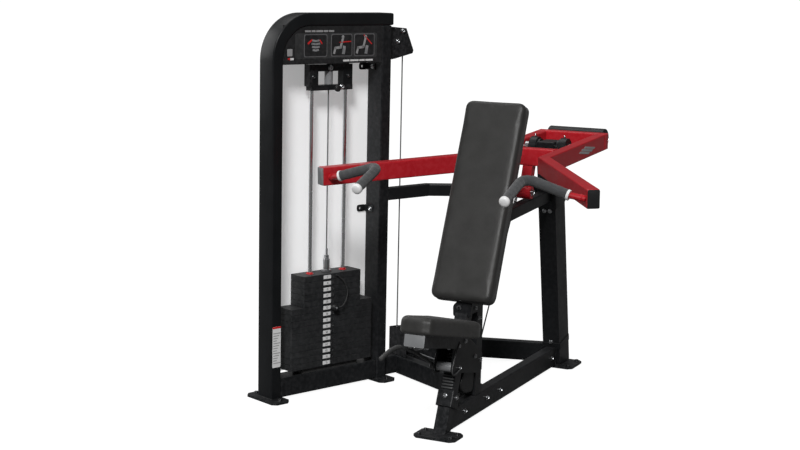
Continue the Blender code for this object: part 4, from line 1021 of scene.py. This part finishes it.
def makeArm():
    flat = math.cos(math.radians(layout["armLean"]))
    for name, side, finish in (("left", 1, "moulded"), ("right", -1, "greyPlastic")):
        shape = bmesh.new()
        axes = (armAxes @ place(side * arm["end"][0], (arm["end"][1] - layout["pivot"][1]) / flat, 0)
                @ spin(side * arm["spread"], "Z") @ onFront)
        halfWide = arm["width"] / 2 - 0.0006
        halfHigh = arm["half"] - 0.0008
        lip = roundCorners(rectangle(-halfWide, -halfHigh, halfWide, halfHigh), 0.006, 5)
        addPlate(shape, lip, 0.0002, 0.003, 0.0014, axes, 0, segments=3)
        inset = roundCorners(rectangle(-halfWide + 0.006, -arm["half"] + 0.007, halfWide - 0.006,
                                       arm["half"] - 0.007), 0.005, 5)
        addPlate(shape, inset, 0.0026, 0.004, 0.001, axes, 0, segments=2)
        newPiece(f"arm_cap_{name}", shape, [finish], "press_arm")

    shape = bmesh.new()
    for side in (-1, 1):
        addTurned(shape, [(0.0, -0.0004), (0.0262, -0.0004), (0.027, 0.0006), (0.027, 0.0018), (0.0, 0.0018)],
                  armAxes @ along((side * 0.0282, *arm["boss"]), (side, 0, 0)), 0, 32)
        addBolt(shape, (side * 0.0298, *arm["boss"]), (side, 0, 0), 0.0072, armAxes, 1)
    newPiece("lever_boss_bolts", shape, ["redPowder", "zincSteel"], "press_arm")

    rear = (arm["rearBrace"] - layout["pivot"][1]) / flat
    front = (arm["frontBrace"] - layout["pivot"][1]) / flat
    crest, inner = arm["half"] + 0.0002, arm["half"] - 0.003
    beads = {"front": (0.0022, [[(0.1158, front + 0.002, crest), (0.1158, front + 0.046, crest)],
                                [(0.1158, front - 0.0002, -inner), (0.1158, front - 0.0002, inner)]]),
             "rear": (0.002, [[(0.1652, rear + 0.0005, -inner), (0.1652, rear + 0.0005, inner)]])}
    for part, (radius, lines) in beads.items():
        shape = bmesh.new()
        for side in (-1, 1):
            for line in lines:
                addBead(shape, [(side * x, y, z) for x, y, z in line], radius, armAxes)
        newPiece(f"arm_welds_{part}", shape, ["redPowder"], "press_arm")

    shape = bmesh.new()
    for start, end, low, high in arm["badge"]:
        bar = roundCorners([(start, low), (end - 0.014, low), (end, high), (start + 0.014, high)], 0.003, 3)
        addPlate(shape, bar, -0.0001, 0.0009, 0.0003, onSide, 0)
    newPiece("rail_badge", shape, ["printGrey"], "press_arm",
             armAxes @ place(arm["line"] + arm["width"] / 2, 0, 0) @ spin(arm["badgeLean"], "X"))

    shape = bmesh.new()
    weightAt = rear + 0.0005 + 0.048 + 0.048
    for side in (-1, 1):
        addTurned(shape, [(0.0, -0.0002), (0.042, -0.0002), (0.043, 0.0012), (0.036, 0.003), (0.0, 0.003)],
                  armAxes @ along((side * arm["weightReach"], weightAt, 0), (side, 0, 0)), 0, 36)
        addBolt(shape, (side * 0.138, weightAt, 0), (side, 0, 0), 0.0075, armAxes, 1)
    newPiece("counterweight_caps", shape, ["blackPowder", "zincSteel"], "press_arm")


makePivot()
makeArm()
print("frame, pivot and arm done")


# handles
handle = {"radius": 0.0195, "bend": 0.045, "ring": (0.473, 0.077, 0.976), "corner": (0.3, 0.074, 1.028),
          "cap": (0.3, -0.117, 0.96), "stub": (0.53, 0.099, 0.964), "stubLength": 0.0475,
          "stubRadius": 0.0128}


def handlePath(side):
    ring, corner, cap = (Vector(handle[key]) for key in ("ring", "corner", "cap"))
    path = [ring, *bendPath(ring, corner, cap, handle["bend"], 12), cap]
    return [machineAxes @ Vector((side * p.x, p.y, p.z)) for p in path]


def evenPath(path, step):
    found = [path[0]]
    for a, b in zip(path, path[1:]):
        count = max(1, round((b - a).length / step))
        found += [a.lerp(b, k / count) for k in range(1, count + 1)]
    return found


def makeHandle(name, side):
    path = evenPath(handlePath(side), 0.004)
    shape = bmesh.new()
    radii = []
    for index in range(len(path)):
        fromEnd = min(index, len(path) - 1 - index)
        radii.append(handle["radius"] * (1.0 if fromEnd else 0.9) + 0.00035 * math.sin(index * 0.9))
    addTube(shape, path, handle["radius"], radii=radii, sides=28)
    grip = newPiece(f"grip_{name}", shape, ["gripFoam"], "press_arm", angle=60,
                    replaces=(f"handle_grip_{name}",))
    shape = bmesh.new()
    ring = [(0.0128, -0.004), (0.0203, -0.004), (0.0208, -0.0028), (0.0208, 0.0048), (0.02, 0.006),
            (0.0128, 0.006)]
    cap = [(0.0, -0.006), (0.0203, -0.006), (0.0208, -0.0046), (0.0206, 0.0016), (0.0196, 0.005),
           (0.017, 0.0078), (0.0125, 0.0096), (0.007, 0.0105), (0.0, 0.0108)]
    for at, inside, profile in ((path[0], path[1], ring), (path[-1], path[-2], cap)):
        addTurned(shape, profile, along(at, (at - inside).normalized()), 0, 32)
    newPiece(f"grip_ends_{name}", shape, ["whitePlastic"], "press_arm")
    shape = bmesh.new()
    stub, ring = (Vector((side * handle[key][0], *handle[key][1:])) for key in ("stub", "ring"))
    way = (stub - ring).normalized()
    foot = ring + way * handle["stubLength"]
    level, across = way.orthogonal().normalized(), way.cross(way.orthogonal()).normalized()
    ringPoints = [foot + handle["stubRadius"] * (math.cos(math.tau * k / 24) * level
                                                 + math.sin(math.tau * k / 24) * across) for k in range(24)]
    addTube(shape, ringPoints, 0.0022, closed=True, sides=6)
    newPiece(f"handle_weld_{name}", shape, ["redPowder"], "press_arm", machineAxes)


makeHandle("left", 1)
makeHandle("right", -1)
print("handles done")


# pads
padding = {"voxel": 0.0055, "pressure": 3.0, "stiff": 18.0, "bend": 4.0, "quality": 5, "frames": 20,
           "held": 0.02, "cap": 0.003, "corner": 0.036, "arc": 7, "full": 0.9}
backPad = {"wide": 0.1325, "narrow": 0.1315, "length": 0.83, "thick": 0.053, "under": -0.0118,
           "coverIn": 0.014, "screwRows": 7, "screwStep": 0.1245, "screwOut": 0.104}
seatPad = {"back": 0.1285, "front": 0.065, "length": 0.372, "thick": 0.065}


def insetLoop(outline, inset):
    found = []
    for index, point in enumerate(outline):
        before, after = Vector(outline[index - 1]), Vector(outline[(index + 1) % len(outline)])
        way = (after - before).normalized()
        found.append(tuple(Vector(point) + Vector((-way.y, way.x)) * inset))
    return found


def puff(name, corners, low, high, axes, rounding, foot, crease=None):
    part = bmesh.new()
    outline = roundCorners(corners, padding["corner"], 9)
    turns = [math.pi / 2 * k / padding["arc"] for k in range(padding["arc"] + 1)]
    arc = [(1.0 - math.sin(turn), 1.0 - math.cos(turn)) for turn in turns]
    levels = [(foot * a, low + foot * b) for a, b in arc]
    levels += [(rounding * a, high - rounding * b) for a, b in reversed(arc)]
    rings = [[part.verts.new((x, y, z)) for x, y in insetLoop(outline, inset)] for inset, z in levels]
    for below, above in zip(rings, rings[1:]):
        for k in range(len(outline)):
            n = (k + 1) % len(outline)
            part.faces.new((below[k], below[n], above[n], above[k]))
    part.faces.new(rings[0])
    part.faces.new(rings[-1])
    bmesh.ops.recalc_face_normals(part, faces=part.faces)
    mesh = bpy.data.meshes.new(name)
    part.to_mesh(mesh)
    part.free()
    pad = bpy.data.objects.new(name, mesh)
    bpy.context.scene.collection.objects.link(pad)
    bpy.context.view_layer.objects.active = pad
    remesh = pad.modifiers.new("remesh", "REMESH")
    remesh.mode = "VOXEL"
    remesh.voxel_size = padding["voxel"]
    applyModifiers(pad)
    start = [v.co.copy() for v in pad.data.vertices]
    simulate(pad, start, low)
    for v in pad.data.vertices:
        if crease:
            v.co += crease(v.co)
        v.co.z = max(v.co.z, low)
    smooth = pad.modifiers.new("smooth", "SMOOTH")
    smooth.factor, smooth.iterations = 0.5, 3
    detail = pad.modifiers.new("detail", "SUBSURF")
    detail.levels = detail.render_levels = 1
    applyModifiers(pad)
    pad.data.transform(axes)
    pad.data.materials.clear()
    pad.data.materials.append(finishes["padVinyl"])
    pad.data.polygons.foreach_set("use_smooth", [True] * len(pad.data.polygons))
    return pad


def applyModifiers(piece):
    graph = bpy.context.evaluated_depsgraph_get()
    graph.update()
    made = bpy.data.meshes.new_from_object(piece.evaluated_get(graph))
    piece.modifiers.clear()
    old = piece.data
    piece.data = made
    bpy.data.meshes.remove(old)


def simulate(pad, start, low):
    scene = bpy.context.scene
    cloth = pad.modifiers.new("cloth", "CLOTH")
    cloth.settings.use_pressure = True
    cloth.settings.uniform_pressure_force = padding["pressure"]
    cloth.settings.effector_weights.gravity = 0.0
    cloth.settings.quality = padding["quality"]
    cloth.settings.tension_stiffness = padding["stiff"]
    cloth.settings.compression_stiffness = padding["stiff"]
    cloth.settings.bending_stiffness = padding["bend"]
    cloth.point_cache.frame_start, cloth.point_cache.frame_end = 1, padding["frames"]
    for number in range(1, padding["frames"] + 1):
        scene.frame_set(number)
    applyModifiers(pad)
    scene.frame_set(1)
    for v, before in zip(pad.data.vertices, start):
        move = v.co - before
        if move.length > padding["cap"]:
            move *= padding["cap"] / move.length
        grip = min(1.0, max(0.0, (before.z - low) / padding["held"]))      # the underside stays on its board
        v.co = before + move * grip


def finishPad(pad, body, replaced):
    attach(pad, body)
    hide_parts(*replaced)


def makeBackPad():
    wide, narrow, length, thick = (backPad[key] for key in ("wide", "narrow", "length", "thick"))
    corners = [(-wide, 0.0015), (wide, 0.0015), (narrow, length - 0.0015), (-narrow, length - 0.0015)]
    faceUp = backAxes @ place(0, thick, 0) @ onFront
    pad = puff("back_cushion", corners, backPad["under"], thick - 0.0015, faceUp, 0.017, 0.008)
    finishPad(pad, "root", ("backrest_pad", "backrest_board"))
    shape = bmesh.new()
    near, half = backPad["coverIn"], wide - 0.0125
    cover = [(-half, near), (half, near), (half - 0.001, length - near), (0.001 - half, length - near)]
    addPlate(shape, roundCorners(cover, 0.03, 6), -0.0128, -0.011, 0.0005)
    screw = [(0.0, -0.0142), (0.003, -0.014), (0.0044, -0.013), (0.0044, -0.012), (0.0, -0.012)]
    for x in (-backPad["screwOut"], backPad["screwOut"]):
        for k in range(backPad["screwRows"]):
            addTurned(shape, screw, place(x, 0.04 + backPad["screwStep"] * k, 0), 1, 14)
    newPiece("back_cover", shape, ["moulded", "darkSteel"], "root", faceUp)


def makeSeatPad():
    back, front, length, thick = (seatPad[key] for key in ("back", "front", "length", "thick"))
    corners = [(-front, -length + 0.0015), (front, -length + 0.0015), (back, -0.0015), (-back, -0.0015)]

    def crease(co):                                # the tuck at the seat's near front corner
        near = math.exp(-((co.x - 0.048) / 0.007) ** 2) * math.exp(-((co.y + length - 0.01) / 0.045) ** 2)
        swell = math.exp(-((co.x - 0.061) / 0.009) ** 2) * math.exp(-((co.y + length - 0.03) / 0.045) ** 2)
        return Vector((0.0, 0.003 * near - 0.0014 * swell, -0.002 * near if co.z > thick * 0.7 else 0.0))

    pad = puff("seat_cushion", corners, 0.0, thick - 0.001, seatAxes, 0.019, 0.012, crease)
    finishPad(pad, "seat_carriage", ("seat_pad",))


makeBackPad()
makeSeatPad()
print("pads done")


# seat mechanism
lever = {"y": 0.072, "z": 0.268, "grip": 0.0088,
         "sleeve": [(-0.0905, -0.04, 0.3425), (-0.118, -0.088, 0.364), (-0.134, -0.135, 0.36),
                    (-0.142, -0.205, 0.34)]}
carriage = {"under": -0.047, "sideHalf": 0.0366, "loopHalf": 0.0405, "loopRadius": 0.0028,
            "padBolts": ((0.017, -0.33), (0.0286, -0.3), (-0.025, -0.33), (0.017, -0.06),
                         (-0.025, -0.06)),
            "sideBolts": ((0.1154, 0.3447), (0.1781, 0.3516), (0.2783, 0.2695), (0.336, 0.2434),
                          (0.1261, 0.2546)),
            "loop": ((0.112, 0.362), (0.086, 0.33), (0.06, 0.292), (0.047, 0.262), (0.056, 0.243),
                     (0.082, 0.24), (0.12, 0.248))}
post = {"braceHalf": 0.0252, "braceBolts": ((0.2995, 0.4596), (0.3334, 0.4124)), "teeth": 12,
        "toothStep": 0.012, "firstTooth": 0.1922, "toothHalf": 0.003, "bracketAt": 0.229,
        "bracket": [(-0.04, 0.433), (0.034, 0.433), (0.036, 0.49), (-0.02, 0.5), (-0.042, 0.476)],
        "cover": [(0.215, 0.236), (0.18, 0.166), (0.195, 0.142), (0.23, 0.125), (0.302, 0.117),
                  (0.312, 0.1575), (0.31, 0.236)]}


def makeSeatUnderside():
    shape = bmesh.new()
    cap = roundCorners(rectangle(-0.0415, -0.048, 0.0415, 0.0004), 0.006, 5)
    addPlate(shape, cap, 0.3523, 0.3548, 0.001, onFront, 0, segments=2)
    newPiece("seat_beam_cap", shape, ["greyPlastic"], "seat_carriage", seatAxes)

    shape = bmesh.new()
    for x, y in carriage["padBolts"]:
        addBolt(shape, (x, y, carriage["under"]), (0, 0, -1), 0.0046, seatAxes)
    for y, z in carriage["sideBolts"]:
        for side in (-1, 1):
            addBolt(shape, (side * carriage["sideHalf"], y, z), (side, 0, 0), 0.0044, machineAxes)
    newPiece("seat_bolts", shape, ["zincSteel"], "seat_carriage")

    shape = bmesh.new()
    axle = machineAxes @ along((-0.0375, lever["y"], lever["z"]), (1, 0, 0))
    addTurned(shape, [(0.0, 0.0005), (0.0176, 0.0005), (0.0183, 0.0015), (0.0183, 0.07), (0.0176, 0.0712),
                      (0.0, 0.0712)], axle, 0, 32)
    newPiece("seat_front_tube", shape, ["greyPlastic"], "seat_carriage")

    shape = bmesh.new()
    for side in (-1, 1):
        loop = [(side * carriage["loopHalf"], y, z) for y, z in carriage["loop"]]
        addTube(shape, smoothCurve(loop, 6), carriage["loopRadius"], machineAxes, 0, 10)
    newPiece("seat_loops", shape, ["greyPowder"], "seat_carriage")


def makeLeverGrip():
    shape = bmesh.new()
    path = smoothCurve(lever["sleeve"], 6)
    radii = [0.0072 + 0.0016 * min(1.0, k / 8) + 0.0004 * (k % 2) for k in range(len(path))]
    addTube(shape, path[6:], lever["grip"], machineAxes, 0, 18, radii=radii[6:])
    addTurned(shape, [(0.0, 0.0062), (0.0058, 0.005), (0.0088, 0.001), (0.0092, -0.001), (0.0, -0.001)],
              machineAxes @ along(path[-1], path[-1] - path[-2]), 0, 20)
    newPiece("lever_sleeve", shape, ["blackRubber"], "seat_lever")
    shape = bmesh.new()
    addTurned(shape, [(0.0, 0.0), (0.015, 0.0), (0.0158, 0.001), (0.0158, 0.0022), (0.0, 0.0022)],
              machineAxes @ along((-0.056, lever["y"], lever["z"]), (-1, 0, 0)), 0, 28)
    addBolt(shape, (-0.058, lever["y"], lever["z"]), (-1, 0, 0), 0.0055, machineAxes, 1)
    newPiece("lever_hub_cap", shape, ["blackPowder", "zincSteel"], "seat_lever")


def makePostFittings():
    shape = bmesh.new()
    outer = roundCorners(rectangle(-0.0345, -0.009, 0.0345, 0.056), 0.006, 4)
    inner = roundCorners(rectangle(-0.0263, -0.0006, 0.0263, 0.0505), 0.002, 2)
    addPlate(shape, outer, 0.12, 0.183, 0.0016, Matrix(), 0, (inner,))
    newPiece("post_collar", shape, ["blackPowder"], "root", postAxes)
    shape = bmesh.new()
    addBolt(shape, (0.0, -0.0091, 0.161), (0, -1, 0), 0.0046, postAxes)
    addBolt(shape, (0.0346, 0.025, 0.161), (1, 0, 0), 0.0046, postAxes)
    for side in (-1, 1):
        for y, z in post["braceBolts"]:
            addBolt(shape, (side * post["braceHalf"], y, z), (side, 0, 0), 0.0042, machineAxes)
    addBolt(shape, (-0.015, post["bracketAt"], 0.47), (0, -1, 0), 0.006, machineAxes)
    newPiece("post_bolts", shape, ["zincSteel"], "root")

    shape = bmesh.new()
    for number in range(post["teeth"]):            # rack teeth, one rounded rib each
        low = post["firstTooth"] + number * post["toothStep"] - post["toothHalf"]
        high = low + 2 * post["toothHalf"]
        addBox(shape, (-0.0235, -0.0066, low), (0.0235, 0.0002, high), 0.0014, postAxes)
    newPiece("rack_ribs", shape, ["greyPowder"], "root")

    shape = bmesh.new()
    addPlate(shape, roundCorners(post["bracket"], 0.01, 4), 0.0, 0.004, 0.001,
             machineAxes @ place(0, post["bracketAt"], 0) @ onFront)
    newPiece("backrest_foot_bracket", shape, ["blackPowder"], "root")

    shape = bmesh.new()
    addPlate(shape, roundCorners(post["cover"], 0.018, 5), -0.0215, 0.0215, 0.005, machineAxes @ onSide,
             segments=4)
    newPiece("spring_cover", shape, ["moulded"], "root")


makeSeatUnderside()
makeLeverGrip()
makePostFittings()
print("seat mechanism done")


# camera, floor and lights
look = {"at": (2.523911, -5.889301, 1.7584), "turn": 25.733, "down": 9.2219, "roll": 1.1652, "lens": 69.18,
        "sensor": 36.0, "floorTone": 0.14, "floorGlow": (0.02, 0.95), "skyGlow": (0.09, 1.05),
        "box": (2.6, 55.0), "boxAt": (-4.2, -0.6, 2.6), "boxWay": (-4.2, -0.9, 1.9),
        "suns": {"front": ((0.3, -0.92, 0.8), 3.0, 14.0), "overhead": ((-0.45, 0.3, 1.0), 0.7, 40.0)}}


def glowSeen(tree, glow, socket):                  # (light on the object, brightness as seen)
    seen = addNode(tree, "ShaderNodeLightPath").outputs["Is Camera Ray"]
    tree.links.new(addRange(tree, seen, 0.0, 1.0, *glow), socket)


def makeStage():
    scene = bpy.context.scene
    turn, down, roll = (math.radians(look[key]) for key in ("turn", "down", "roll"))
    ahead = Vector((-math.sin(turn) * math.cos(down), math.cos(turn) * math.cos(down), -math.sin(down)))
    level = Vector((math.cos(turn), math.sin(turn), 0.0))
    over = level.cross(ahead)
    right = level * math.cos(roll) + over * math.sin(roll)
    up = over * math.cos(roll) - level * math.sin(roll)
    lens = bpy.data.cameras.new("camera")
    lens.lens, lens.sensor_width, lens.clip_start, lens.clip_end = look["lens"], look["sensor"], 0.1, 60.0
    camera = bpy.data.objects.new("camera", lens)
    camera.matrix_world = place(*look["at"]) @ Matrix((right, up, -ahead)).transposed().to_4x4()
    scene.collection.objects.link(camera)
    scene.camera = camera

    shape = bmesh.new()
    bmesh.ops.create_grid(shape, x_segments=2, y_segments=2, size=40.0)
    mesh = bpy.data.meshes.new("floor")
    shape.to_mesh(mesh)
    shape.free()
    floor = bpy.data.objects.new("floor", mesh)
    floor.location = (0.0, 0.0, -0.0005)
    scene.collection.objects.link(floor)
    pale, tree, shader = newFinish("floor", grey(look["floorTone"]), 0.9, Specular_IOR_Level=0.0)
    shader.inputs["Emission Color"].default_value = (1.0, 1.0, 1.0, 1.0)
    glowSeen(tree, look["floorGlow"], shader.inputs["Emission Strength"])
    floor.data.materials.append(pale)

    world = bpy.data.worlds.new("studio")
    scene.world = world
    world.use_nodes = True
    sky = world.node_tree.nodes["Background"]
    sky.inputs["Color"].default_value = (1.0, 1.0, 1.0, 1.0)
    glowSeen(world.node_tree, look["skyGlow"], sky.inputs["Strength"])
    box = bpy.data.lights.new("side", "AREA")
    box.shape, (box.size, box.energy) = "SQUARE", look["box"]
    held = [(box, along(look["boxAt"], look["boxWay"]))]
    for name, (way, power, spread) in look["suns"].items():
        light = bpy.data.lights.new(name, "SUN")
        light.energy, light.angle = power, math.radians(spread)
        held.append((light, along((0, 0, 4), way)))
    for light, at in held:
        lamp = bpy.data.objects.new(light.name, light)
        lamp.matrix_world = at
        scene.collection.objects.link(lamp)
    scene.view_settings.view_transform = "Standard"


makeStage()
